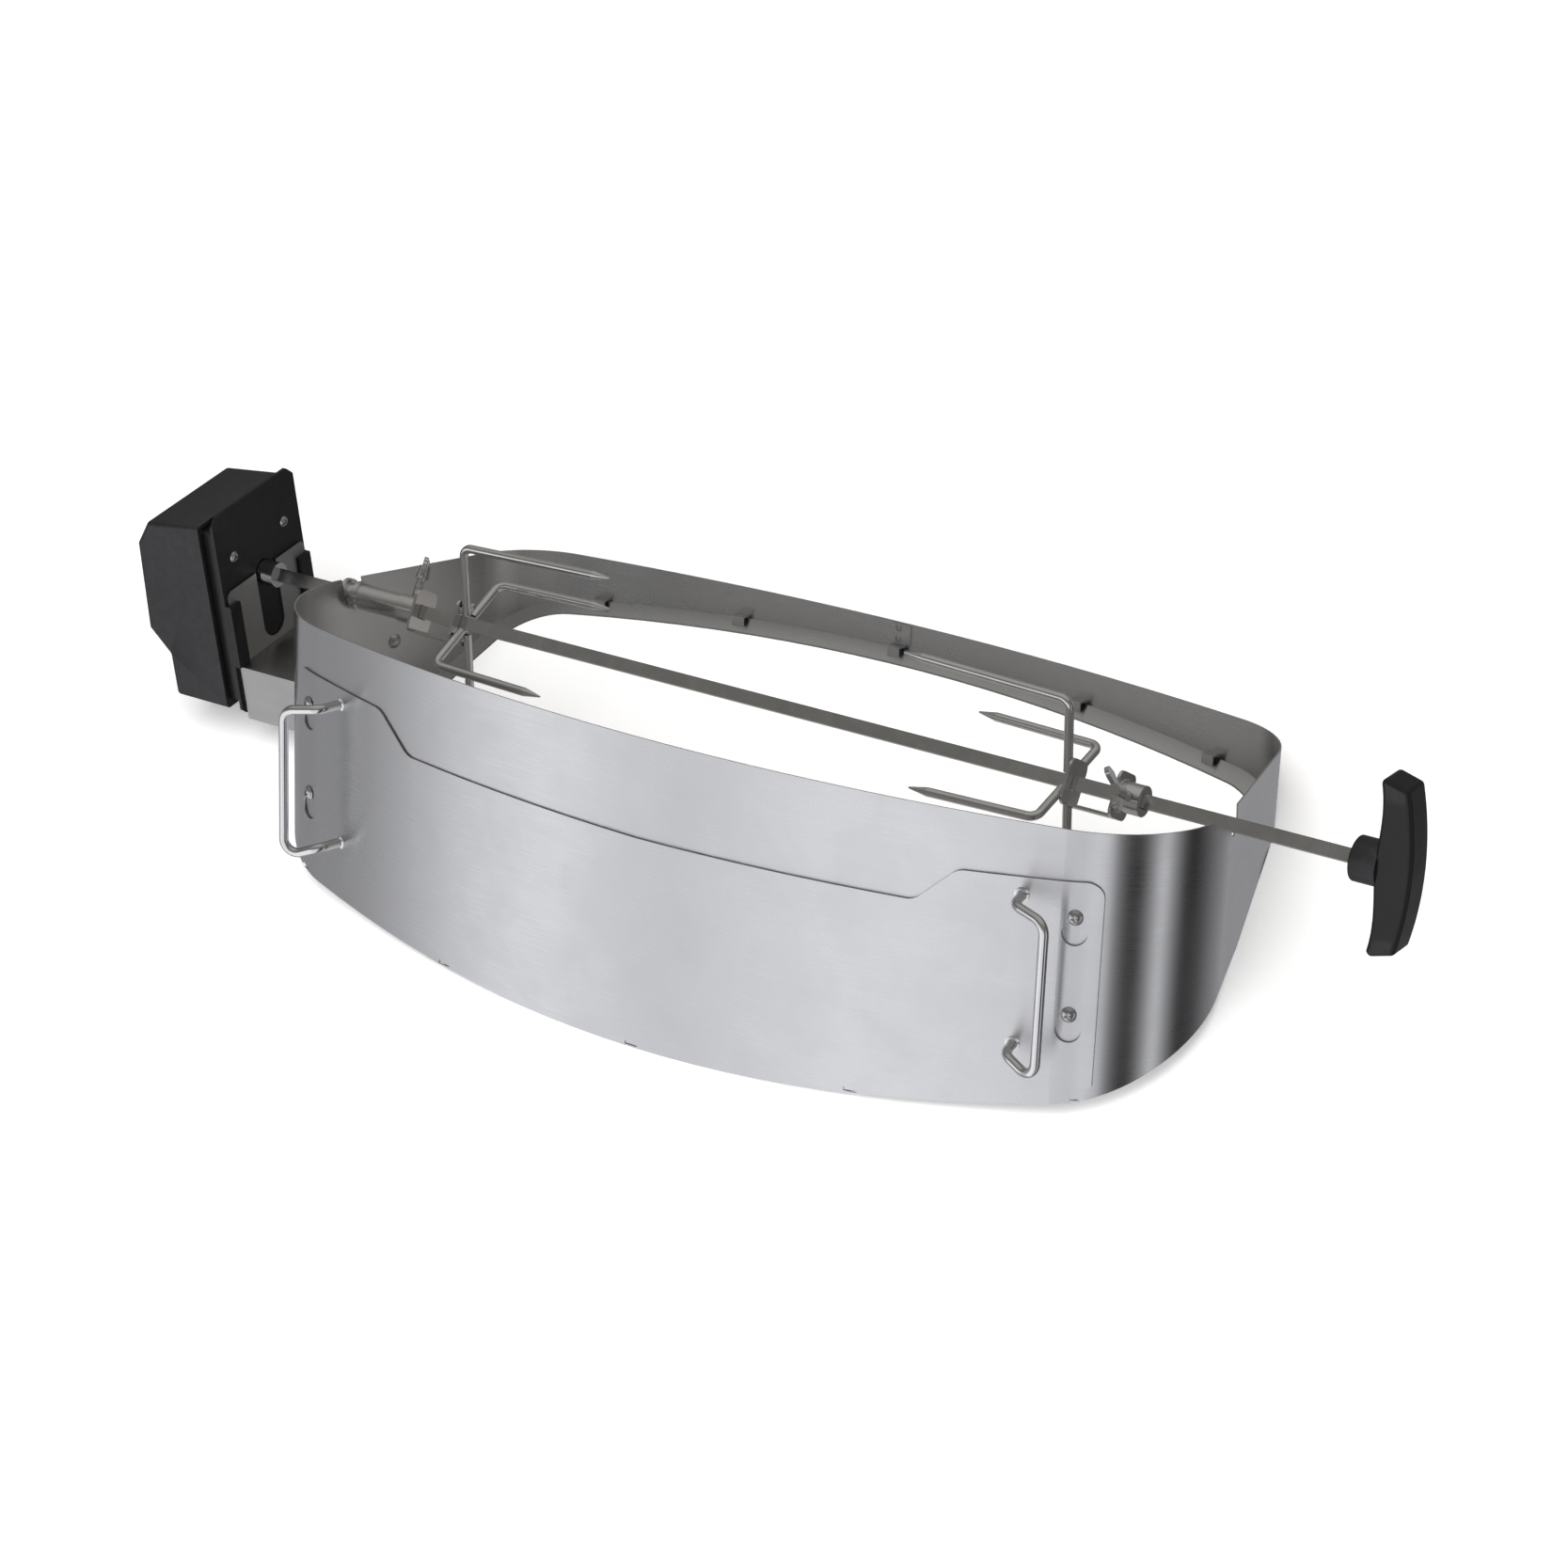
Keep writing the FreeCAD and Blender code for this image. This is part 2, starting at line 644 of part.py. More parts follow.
def make_clips():
    """Small folded keepers on the flange, each with a tab that passes through the wall."""
    above = above_seat(flange_rise())
    inside = ring_block(WALL_T)
    clips = []
    for point, normal in clip_places():
        half = CLIP_W / 2
        depth = CLIP_DEPTH + WALL_T
        body = box((-depth, 0), (-half, half), (-MARGIN, CLIP_RISE))
        hollow = box((CLIP_T - depth, 0), (-half - CLIP_T, half + CLIP_T), (-MARGIN, CLIP_RISE - CLIP_T))
        foot = point + V(0, 0, seat_z(point.y))
        clips.append(facing(body.cut(hollow), foot, normal).common(inside).common(above))
    solid = clips[0].fuse(clips[1:])
    return solid.fuse(tab_solid(0.0, -CLIP_TAB_SHORT).common(above)).removeSplitter()


def seam_rivet_places():
    angle = math.asin(SEAM_X / BACK_BOW_R)
    normal = V(math.sin(angle), math.cos(angle), 0)
    foot = V(0, BACK_Y - BACK_BOW_R, 0) + normal * BACK_BOW_R
    places = []
    for step in (-0.5, 0.5):
        places.append((foot + V(0, 0, SEAM_RIVET_Z + step * SEAM_RIVET_PITCH), normal))
    return places


def make_seam_rivets():
    rivets = []
    for place in seam_rivet_places():
        shank = bar(SEAM_RIVET_D / 2, -2 * WALL_T, 0)
        inner = dome(SEAM_RIVET_D, SEAM_RIVET_HEAD_H)
        inner.rotate(V(), Z_AXIS, 180)
        inner.translate(V(-2 * WALL_T, 0, 0))
        rivets.append(facing(fuse([shank, dome(SEAM_RIVET_D, SEAM_RIVET_HEAD_H), inner]), *place))
    return Part.makeCompound(rivets)


def left_wall_normal():
    lean = math.radians(SIDE_ANGLE)
    return V(-math.cos(lean), math.sin(lean), 0)


def side_rivet_place():
    return V(-side_x(SIDE_RIVET_Y), SIDE_RIVET_Y, SIDE_RIVET_Z), left_wall_normal()


def make_side_rivet():
    shank = bar(SIDE_RIVET_D, -WALL_T, 0)
    inner = dome(SIDE_RIVET_HEAD_D, SIDE_RIVET_HEAD_H)
    inner.rotate(V(), Z_AXIS, 180)
    inner.translate(V(-WALL_T, 0, 0))
    whole = fuse([shank, dome(SIDE_RIVET_HEAD_D, SIDE_RIVET_HEAD_H), inner])
    return facing(whole, *side_rivet_place())


# ---------------------------------------------------------------- door and its fittings
def stud_places():
    places = []
    for side in (LEFT, RIGHT):
        for z in (STUD_TOP_Z, STUD_TOP_Z - STUD_PITCH):
            places.append(front_point(from_door_end(side, STUD_FROM_END), z))
    return places


def make_studs():
    """Shouldered studs: the head stands proud of the door by the running gap."""
    head_x = DOOR_GAP + DOOR_T + STUD_GAP
    studs = []
    for place in stud_places():
        shank = bar(STUD_SHANK_D, -WALL_T - STUD_NUT_T - THREAD_SHOWING, head_x)
        head = dome(STUD_HEAD_D, STUD_HEAD_T, head_x)
        studs.append(facing(fuse([shank, head]), *place))
    return Part.makeCompound(studs)


def make_stud_nuts():
    nuts = []
    for place in stud_places():
        nut = hexagon(STUD_NUT_AF, -WALL_T - STUD_NUT_T, -WALL_T)
        nut = nut.cut(bar(STUD_SHANK_D, -STUB, 0))
        nuts.append(facing(nut, *place).common(ring_block(WALL_T)))
    return Part.makeCompound(nuts)


def make_door():
    blank = ring_skin(-DOOR_GAP - DOOR_T, -DOOR_GAP)
    ends = [(DOOR_HALF_W, DOOR_END_Z, DOOR_CORNER_R)]
    far_ends = [(-DOOR_HALF_W, DOOR_END_Z, DOOR_CORNER_R)]
    feet = [(-DOOR_HALF_W, -REACH / 2, 0), (DOOR_HALF_W, -REACH / 2, 0)]
    outline = fore_and_aft(ends + door_top() + far_ends + feet, FRONT_Y - MARGIN, front_corner_centre().y)
    door = blank.common(outline).common(above_seat(DOOR_HEM))
    for point, normal in stud_places():
        slot_half = STUD_SHANK_D / 2 + STUD_GAP
        neck = bar(2 * slot_half, -STUB, STUB)
        throat = box((-STUB, STUB), (-slot_half, slot_half), (-KEYHOLE_DROP, 0))
        mouth = bar(KEYHOLE_D, -STUB, STUB, 0, -KEYHOLE_DROP)
        door = door.cut(facing(fuse([neck, throat, mouth]), point, normal))
    for side in (LEFT, RIGHT):
        for z in (HANDLE_TOP_Z, HANDLE_BOTTOM_Z):
            foot = front_point(from_door_end(side, HANDLE_FROM_END), z)
            door = door.cut(facing(bar(HANDLE_WIRE_D + 2 * SLIP, -STUB, STUB), *foot))
    return door.removeSplitter()


def make_door_handle(side):
    """Bent wire: both feet pass through the door and the upright bar stands out to the side."""
    x = from_door_end(side, HANDLE_FROM_END)
    bar_x = from_door_end(side, HANDLE_BAR_FROM_END)
    root_top, normal = front_point(x, HANDLE_TOP_Z, DOOR_GAP)
    root_low = front_point(x, HANDLE_BOTTOM_Z, DOOR_GAP)[0]
    bar_top = front_point(bar_x, HANDLE_BAR_TOP_Z, HANDLE_BAR_OUT)[0]
    bar_low = front_point(bar_x, HANDLE_BAR_BOTTOM_Z, HANDLE_BAR_OUT)[0]
    points = [root_top, root_top + normal * HANDLE_STANDOFF, bar_top]
    points += [bar_low, root_low + normal * HANDLE_STANDOFF, root_low]
    wire = bent_wire(points, HANDLE_WIRE_D, HANDLE_BEND_R)
    beads = []
    for z in (HANDLE_TOP_Z, HANDLE_BOTTOM_Z):
        bead = dome(HANDLE_FOOT_D, HANDLE_FOOT_T, DOOR_GAP + DOOR_T)
        beads.append(facing(bead, *front_point(x, z)))
    beads = [bead.common(ring_block(-REACH / 10).cut(ring_block(-DOOR_GAP - DOOR_T))) for bead in beads]
    return fuse([wire] + beads)


# ---------------------------------------------------------------- spit, bushing and T-handle
def square_bar(width, low, high):
    half = width / 2
    return box((low, high), (-half, half), (-half, half))


def make_rod():
    rod = square_bar(ROD_W, ROD_MOTOR_END_X + ROD_POINT_L, ROD_GRIP_END_X)
    tip = Part.makeCone(ROD_W * 0.4, ROD_W * 0.8, ROD_POINT_L, V(ROD_MOTOR_END_X, 0, 0), X_AXIS)
    tip = tip.common(square_bar(ROD_W, ROD_MOTOR_END_X, ROD_MOTOR_END_X + ROD_POINT_L))
    return on_spit(fuse([rod, tip]), ROD_TURN)


def groove_span():
    """The groove is wide enough for the leaning wall to pass between the two flanges."""
    lean = math.radians(SIDE_ANGLE)
    sweep = BUSH_FLANGE_D / 2 * math.tan(lean) + GROOVE_SIDE_GAP
    outer = -side_x(SPIT_Y) - sweep
    inner = -side_x(SPIT_Y) + WALL_T / math.cos(lean) + sweep
    return outer, inner


def collar_end(side):
    """Outer end of a fork's collar."""
    tine_x = LEFT_TINE_X if side == LEFT else RIGHT_TINE_X
    return tine_x + side * (HUB_L + HUB_T + COLLAR_L)


def make_bushing():
    outer, inner = groove_span()
    end = collar_end(LEFT) - FORK_TRAVEL_GAP
    pieces = [
        bar(BUSH_FLANGE_D, outer - BUSH_FLANGE_T, outer),
        bar(GROOVE_D, outer, inner),
        bar(BUSH_FLANGE_D, inner, inner + BUSH_FLANGE_T),
        bar(BUSH_D, inner + BUSH_FLANGE_T, end),
    ]
    bore = square_bar(ROD_W + 2 * SLIP, -REACH, REACH)
    return on_spit(fuse(pieces).cut(bore), ROD_TURN)


def make_ferrule():
    body = bar(FERRULE_D, FERRULE_X, FERRULE_X + FERRULE_L)
    inner_edges = [edge for edge in body.Edges if abs(edge.CenterOfMass.x - FERRULE_X) < SLIP]
    body = body.makeFillet(FERRULE_EDGE_R, inner_edges)
    bore = square_bar(ROD_W + 2 * SLIP, 0, ROD_GRIP_END_X)
    bolt_hole = bar(GRIP_BOLT_D + 2 * SLIP, ROD_GRIP_END_X, REACH)
    return on_spit(body.cut(bore).cut(bolt_hole), ROD_TURN)


def make_grip():
    """T-grip: two finger hollows on the ferrule's side and a crowned outer side."""
    inner = FERRULE_X + FERRULE_L
    outer = inner + GRIP_T
    outer_low = V(outer - GRIP_CROWN, 0, GRIP_END_CUT - GRIP_DOWN)
    outer_high = V(outer - GRIP_CROWN, 0, GRIP_UP - GRIP_END_CUT)
    inner_low = V(inner - GRIP_FLARE, 0, -GRIP_DOWN)
    inner_high = V(inner - GRIP_FLARE, 0, GRIP_UP)
    hollows = [V(inner, 0, GRIP_HOLLOW * GRIP_UP), V(inner, 0, -GRIP_HOLLOW * GRIP_DOWN)]
    bulge = Part.Arc(outer_low, V(outer, 0, 0), outer_high)
    top = Part.LineSegment(outer_high, inner_high)
    waist = Part.BSplineCurve()
    waist.interpolate([inner_high, hollows[0], V(inner - GRIP_BELLY, 0, 0), hollows[1], inner_low])
    base = Part.LineSegment(inner_low, outer_low)
    face = Part.Face(Part.Wire([bulge.toShape(), top.toShape(), waist.toShape(), base.toShape()]))
    face.translate(V(0, -GRIP_W / 2, 0))
    grip = face.extrude(V(0, GRIP_W, 0))
    grip = grip.makeFillet(GRIP_EDGE_R, grip.Edges)
    flat = bar(FERRULE_D + 2 * SLIP, inner - FERRULE_L, inner)
    return on_spit(grip.cut(flat).cut(bar(GRIP_BOLT_D + 2 * SLIP, 0, ROD_GRIP_END_X + GRIP_BOLT_L)))


def make_grip_bolt():
    """Stud that holds the grip on the end of the spit."""
    return on_spit(bar(GRIP_BOLT_D, ROD_GRIP_END_X, ROD_GRIP_END_X + GRIP_BOLT_L))


# ---------------------------------------------------------------- forks
def fork_x(side):
    return LEFT_TINE_X if side == LEFT else RIGHT_TINE_X


def make_hub(side):
    """U-shaped sheet: two square-holed plates joined by a web below the spit."""
    start = fork_x(side)
    half_w, half_h = HUB_W / 2, HUB_H / 2
    outline = rectangle(half_w, -half_h, half_h, HUB_CORNER_R)
    plates = []
    for near in (0.0, HUB_L):
        ends = sorted((start + side * near, start + side * (near + HUB_T)))
        plates.append(crosswise(outline, *ends))
    span = sorted((start, start + side * (HUB_L + HUB_T)))
    web = box(span, (-half_w + HUB_CORNER_R, half_w - HUB_CORNER_R), (-half_h, -half_h + HUB_T))
    hole = square_bar(ROD_W + 2 * FIT_GAP, -REACH, REACH)
    return on_spit(fuse(plates + [web]).cut(hole), ROD_TURN)


def make_collar(side):
    start = fork_x(side) + side * (HUB_L + HUB_T)
    ends = sorted((start, collar_end(side)))
    collar = bar(COLLAR_D, *ends)
    collar = collar.cut(square_bar(ROD_W + 2 * FIT_GAP, -REACH, REACH))
    tapped = Part.makeCylinder(WING_SCREW_D / 2 + FIT_GAP, COLLAR_D, V((ends[0] + ends[1]) / 2, 0, 0), Z_AXIS)
    return on_spit(collar.cut(tapped), wing_turn(side))


def wing_turn(side):
    """The screw stands square on one flat of the spit: the upper one or the front one."""
    return ROD_TURN if side == LEFT else ROD_TURN + 90


def make_wing_screw(side):
    """Screw built along Z; its wings are turned about it as they were left."""
    x = collar_end(side) - side * COLLAR_L / 2
    tip = ROD_W / 2 + FIT_GAP
    screw = Part.makeCylinder(WING_SCREW_D / 2, WING_HEAD_R - tip, V(0, 0, tip), Z_AXIS)
    hub = Part.makeCone(WING_HUB_D / 2, WING_HUB_TOP_D / 2, WING_HUB_H, V(0, 0, WING_HEAD_R), Z_AXIS)
    wings = [screw, hub]
    for hand in (LEFT, RIGHT):
        blade = [(hand * across * WING_SPAN / 2, up * WING_H, radius) for across, up, radius in WING_OUTLINE]
        wing = fore_and_aft(blade, -WING_T / 2, WING_T / 2)
        wing.translate(V(0, 0, WING_HEAD_R))
        wings.append(wing)
    whole = fuse(wings)
    whole.rotate(V(), Z_AXIS, WING_TURN)
    whole.translate(V(x, 0, 0))
    return on_spit(whole, wing_turn(side))


def make_prong(side, leg, tine, angle):
    """L-shaped pointed wire, welded flat on the face of the hub."""
    x = fork_x(side) - side * PRONG_D / 2
    root = ROD_W / math.sqrt(2) + PRONG_ROOT_GAP
    start, corner = V(x, 0, root), V(x, 0, leg)
    splay = math.radians(SPLAY)
    ahead = V(-side * math.cos(splay), 0, math.sin(splay))
    shoulder = corner + ahead * (tine - PRONG_POINT_L)
    wire = bent_wire([start, corner, shoulder], PRONG_D, PRONG_BEND_R)
    point = Part.makeCone(PRONG_D / 2, PRONG_POINT_D / 2, PRONG_POINT_L, shoulder, ahead)
    return on_spit(fuse([wire, point]), angle - 90)


def make_prongs(side):
    prongs = []
    short_angle = LEFT_SHORT_ANGLE if side == LEFT else RIGHT_SHORT_ANGLE
    for leg, tine, angle in ((LONG_LEG, LONG_TINE, LONG_ANGLE), (SHORT_LEG, SHORT_TINE, short_angle)):
        for turn in (0, 180):
            prongs.append(make_prong(side, leg, tine, angle + turn))
    return Part.makeCompound(prongs)


# ---------------------------------------------------------------- bracket
def plate_face_x():
    return BACK_PLATE_X + BACK_PLATE_T


def bracket_x():
    """Outer face of the upright bracket plate, a running gap off the back plate."""
    return plate_face_x() + FIT_GAP


def make_bracket():
    """One bent sheet: slotted plate, ledge, two cheeks and a pad bolted to the side wall."""
    outer = bracket_x()
    inner = outer + BRACKET_T
    half = BRACKET_HALF_W
    reach = -side_x(BACK_Y)
    corners = [(-half, LEDGE_W - BRACKET_T, 0), (half, LEDGE_W - BRACKET_T, 0)]
    corners += [(half, BRACKET_TOP, BRACKET_CORNER_R), (-half, BRACKET_TOP, BRACKET_CORNER_R)]
    plate = crosswise(corners, outer, inner)
    slot = box((outer, inner), (-SLOT_W / 2, SLOT_W / 2), (SLOT_BOTTOM + SLOT_W / 2, BRACKET_TOP))
    plate = plate.cut(slot).cut(bar(SLOT_W, outer, inner, 0, SLOT_BOTTOM + SLOT_W / 2))
    ledge = box((outer, reach), (-half, half), (LEDGE_W - BRACKET_T, LEDGE_W))
    cheeks = []
    for side in (-1, 1):
        span = sorted((side * half, side * (half - BRACKET_T)))
        cheeks.append(box((inner, reach), span, (BRACKET_BOTTOM, LEDGE_W)))
    sheet = hung(fuse([plate, ledge] + cheeks)).cut(ring_block(0.0))
    pad_box = hung(box((-SIDE_X - MARGIN, reach), (-PAD_HALF_W, PAD_HALF_W), (BRACKET_BOTTOM, PAD_TOP)))
    side_box = hung(box((-SIDE_X - MARGIN, reach), (-half, half), (BRACKET_BOTTOM, LEDGE_W)))
    pad = ring_skin(-BRACKET_T, 0.0).common(fuse([pad_box, side_box]))
    whole = fuse([sheet, pad]).common(above_seat(BRACKET_HEM))
    for place in bracket_bolt_places():
        whole = whole.cut(facing(bar(BRACKET_BOLT_D + 2 * SLIP, -STUB, STUB), *place))
    return whole


def bracket_bolt_places():
    """Bolt holes on the outer face of the left wall, laid out in the bracket's own frame."""
    normal = left_wall_normal()
    tilt = math.radians(MOTOR_TILT)
    places = []
    for v in (BRACKET_BOLT_FRONT_V, BRACKET_BOLT_BACK_V):
        for w in (BRACKET_BOLT_UP, BRACKET_BOLT_LOW):
            y = SPIT_Y + v * math.cos(tilt) - w * math.sin(tilt)
            z = SPIT_Z + v * math.sin(tilt) + w * math.cos(tilt)
            places.append((V(-side_x(y), y, z), normal))
    return places


def make_bracket_bolts():
    bolts = []
    for place in bracket_bolt_places():
        shank = bar(BRACKET_BOLT_D, -WALL_T, BRACKET_T + BRACKET_NUT_T + THREAD_SHOWING)
        head = dome(BRACKET_BOLT_HEAD_D, BRACKET_BOLT_HEAD_T)
        head.rotate(V(), Z_AXIS, 180)
        head.translate(V(-WALL_T, 0, 0))
        bolts.append(facing(fuse([shank, head]), *place))
    return Part.makeCompound(bolts)


def make_bracket_nuts():
    nuts = []
    for place in bracket_bolt_places():
        nut = hexagon(BRACKET_NUT_AF, BRACKET_T, BRACKET_T + BRACKET_NUT_T)
        nut = nut.cut(bar(BRACKET_BOLT_D, 0, STUB))
        nuts.append(facing(nut, *place))
    return Part.makeCompound(nuts)


# ---------------------------------------------------------------- motor case
def make_back_plate():
    """Black plate with two folded edges that hook round the bracket and rest on its ledge."""
    half = BRACKET_HALF_W + FIT_GAP + BACK_PLATE_T
    low, high = BACK_PLATE_BOTTOM, BACK_PLATE_TOP
    cut, top_cut = BACK_PLATE_BOTTOM_CUT, BACK_PLATE_TOP_CUT
    bend = BACK_PLATE_CORNER_R
    corners = [(-half + cut, low, 0), (half - cut, low, 0), (half, low + cut, 0), (half, high - top_cut, bend)]
    corners += [(half - top_cut, high, bend), (-half + top_cut, high, bend)]
    corners += [(-half, high - top_cut, bend), (-half, low + cut, 0)]
    plate = crosswise(corners, BACK_PLATE_X, plate_face_x())
    lip_x = bracket_x() + BRACKET_T + FIT_GAP
    height = (LEDGE_W + FIT_GAP, LIP_TOP)
    hooks = [plate]
    for side in (-1, 1):
        wall = sorted((side * half, side * (half - BACK_PLATE_T)))
        lip = sorted((side * half, side * (half - BACK_PLATE_T - LIP_W)))
        hooks.append(box((plate_face_x(), lip_x + BACK_PLATE_T), wall, height))
        hooks.append(box((lip_x, lip_x + BACK_PLATE_T), lip, height))
    whole = fuse(hooks).cut(bar(SOCKET_D + 4 * FIT_GAP, -REACH, REACH))
    for v, w in plate_screw_places():
        whole = whole.cut(bar(PLATE_SCREW_D + 2 * SLIP, -REACH, REACH, v, w))
    return hung(whole)


def plate_screw_places():
    return [(v, w) for w in (PLATE_SCREW_HIGH, PLATE_SCREW_LOW) for v in (-PLATE_SCREW_V, PLATE_SCREW_V)]


def make_plate_screws():
    """Two domed heads show above the bracket; the lower two are flush, because the bracket is over them."""
    screws = []
    for v, w in plate_screw_places():
        screw = bar(PLATE_SCREW_D, plate_face_x() - PLATE_SCREW_L, plate_face_x())
        if w > BRACKET_TOP:
            screw = fuse([screw, dome(PLATE_SCREW_HEAD_D, PLATE_SCREW_HEAD_T, plate_face_x())])
        screw.translate(V(0, v, w))
        screws.append(screw)
    return hung(Part.makeCompound(screws))


def housing_profile(inset):
    """Side view of the housing in X and Z."""
    face_x = HOUSING_FACE_X + inset
    return [
        (HOUSING_X, HOUSING_BOTTOM + inset, 0),
        (HOUSING_CHIN_X + inset, HOUSING_BOTTOM + inset, HOUSING_EDGE_R),
        (HOUSING_CHIN_X + inset, HOUSING_CHIN_TOP, HOUSING_EDGE_R),
        (face_x, HOUSING_FACE_BOTTOM, HOUSING_EDGE_R),
        (face_x + FACE_LEAN, HOUSING_FACE_TOP, HOUSING_EDGE_R),
        (face_x + BROW_DEPTH, HOUSING_BROW_TOP - inset, HOUSING_EDGE_R),
        (HOUSING_X, HOUSING_TOP - inset, 0),
    ]


def make_housing():
    half = HOUSING_HALF_W
    outer = fore_and_aft(housing_profile(0.0), -half, half)
    rim = [edge for edge in outer.Edges
           if abs(abs(edge.CenterOfMass.y) - half) < SLIP and edge.BoundBox.XMin < HOUSING_X - COVER_TONGUE]
    outer = outer.makeFillet(HOUSING_EDGE_R, rim)
    hollow = fore_and_aft(housing_profile(HOUSING_T), -half + HOUSING_T, half - HOUSING_T)
    shell = outer.cut(hollow)
    shell = shell.cut(hatch_opening()).cut(rocker_opening())
    return hung(shell)


def cover_outline(inset, fall=0.0):
    half = HOUSING_HALF_W - inset
    return rectangle(half, HOUSING_BOTTOM + inset, HOUSING_TOP - inset - fall, COVER_CORNER_R)


def make_cover():
    """Inner half of the case: a tongue inside the housing and a raised tray behind the back plate."""
    fall = (HOUSING_TOP - HOUSING_BROW_TOP) / (HOUSING_X - HOUSING_FACE_X - BROW_DEPTH) * COVER_TONGUE
    tongue = crosswise(cover_outline(HOUSING_T + SLIP, fall), HOUSING_X - COVER_TONGUE, HOUSING_X)
    tray = crosswise(cover_outline(COVER_STEP), HOUSING_X, BACK_PLATE_X)
    pocket = crosswise(cover_outline(COVER_STEP + HOUSING_T), -REACH, BACK_PLATE_X - COVER_T)
    whole = fuse([tongue, tray]).cut(pocket)
    boss_low, boss_high = socket_shoulder_x() + FIT_GAP, BACK_PLATE_X - COVER_T
    boss = bar(SOCKET_D + 2 * (BUSHING_T + BOSS_WALL), boss_low, boss_high)
    idler_v, idler_w = idler_place()
    arbor_boss = bar(ARBOR_D + 2 * BOSS_WALL, boss_low, boss_high, idler_v, idler_w)
    whole = fuse([whole, boss, arbor_boss])
    whole = whole.cut(bar(SOCKET_D + 2 * BUSHING_T, -REACH, REACH))
    whole = whole.cut(bar(ARBOR_D, -REACH, boss_high, idler_v, idler_w))
    for v, w in plate_screw_places():
        whole = whole.cut(bar(PLATE_SCREW_D, -REACH, REACH, v, w))
    return hung(whole)


# ---------------------------------------------------------------- drive train
def polar(radius, degrees):
    return radius * math.cos(math.radians(degrees)), radius * math.sin(math.radians(degrees))


def idler_place():
    return polar(GEAR_MODULE * (IDLER_PINION_TEETH + OUTPUT_TEETH) / 2, IDLER_ANGLE)


def pinion_place():
    idler_v, idler_w = idler_place()
    v, w = polar(GEAR_MODULE * (PINION_TEETH + IDLER_TEETH) / 2, PINION_ANGLE)
    return idler_v + v, idler_w + w


def gear(teeth, low, high, tooth_at, v=0.0, w=0.0):
    """Spur gear with straight flanks and backlash; one tooth points along tooth_at."""
    pitch = GEAR_MODULE * teeth / 2
    tip, root = pitch + TOOTH_ABOVE * GEAR_MODULE, pitch - TOOTH_BELOW * GEAR_MODULE
    step = 360.0 / teeth
    corners = []
    for tooth in range(teeth):
        middle = tooth_at + tooth * step
        for radius, share in ((root, -TOOTH_FOOT), (tip, -TOOTH_TIP), (tip, TOOTH_TIP), (root, TOOTH_FOOT)):
            corners.append(polar(radius, middle + share * step) + (0,))
    solid = crosswise(corners, low, high)
    solid.translate(V(0, v, w))
    return solid


def socket_shoulder_x():
    return OUTPUT_GEAR_X + GEAR_W + FIT_GAP


def make_socket():
    """Output shaft with a square socket for the spit, and its tail in the gear plate."""
    body = bar(SOCKET_D - 2 * RUNNING_GAP, socket_shoulder_x(), SOCKET_X)
    hub = bar(SOCKET_HUB_D, OUTPUT_GEAR_X, socket_shoulder_x())
    tail = bar(SOCKET_TAIL_D, gear_plate_x() + FIT_GAP, OUTPUT_GEAR_X)
    bore = square_bar(ROD_W + 2 * SLIP, ROD_MOTOR_END_X - SOCKET_DEPTH_GAP, REACH)
    return on_spit(fuse([body, hub, tail]).cut(bore), ROD_TURN)


def make_output_gear():
    wheel = gear(OUTPUT_TEETH, OUTPUT_GEAR_X, OUTPUT_GEAR_X + GEAR_W, IDLER_ANGLE)
    return hung(wheel.cut(bar(SOCKET_HUB_D, -REACH, REACH)))


def second_layer():
    """X range of the pinion and the large wheel of the idler."""
    high = OUTPUT_GEAR_X - GEAR_LAYER_GAP
    return high - GEAR_W, high


def gear_plate_x():
    return second_layer()[0] - FIT_GAP


def make_idler():
    v, w = idler_place()
    low, high = second_layer()
    wheel = gear(IDLER_TEETH, low, high, PINION_ANGLE + 180.0 / IDLER_TEETH, v, w)
    small_phase = IDLER_ANGLE + 180 + 180.0 / IDLER_PINION_TEETH
    small = gear(IDLER_PINION_TEETH, high, OUTPUT_GEAR_X + GEAR_W, small_phase, v, w)
    return hung(fuse([wheel, small]).cut(bar(ARBOR_D + 2 * RUNNING_GAP, -REACH, REACH, v, w)))


def make_pinion():
    v, w = pinion_place()
    low, high = second_layer()
    wheel = gear(PINION_TEETH, low, high, PINION_ANGLE + 180, v, w)
    return hung(wheel.cut(bar(SHAFT_D, -REACH, REACH, v, w)))


def make_arbor():
    v, w = idler_place()
    return hung(bar(ARBOR_D, gear_plate_x() - GEAR_PLATE_T, BACK_PLATE_X - COVER_T, v, w))


def make_gear_plate():
    """Steel plate that carries the drive motor, the arbor and the tail of the socket."""
    right = gear_plate_x()
    half_w = HOUSING_HALF_W - HOUSING_T - GEAR_PLATE_GAP
    high = HOUSING_BROW_TOP - HOUSING_T - GEAR_PLATE_GAP
    plate = crosswise(rectangle(half_w, GEAR_PLATE_LOW, high, HOUSING_EDGE_R), right - GEAR_PLATE_T, right)
    plate = plate.cut(bar(SOCKET_TAIL_D + 2 * RUNNING_GAP, -REACH, REACH))
    plate = plate.cut(bar(ARBOR_D, -REACH, REACH, *idler_place()))
    plate = plate.cut(bar(MOTOR_BOSS_D, -REACH, REACH, *pinion_place()))
    post_v = HOUSING_HALF_W - COVER_STEP - HOUSING_T - POST_WALL_GAP - POST_D / 2
    posts = []
    for side in (LEFT, RIGHT):
        posts.append(bar(POST_D, right, BACK_PLATE_X - COVER_T, side * post_v, POST_W))
    return hung(fuse([plate] + posts))


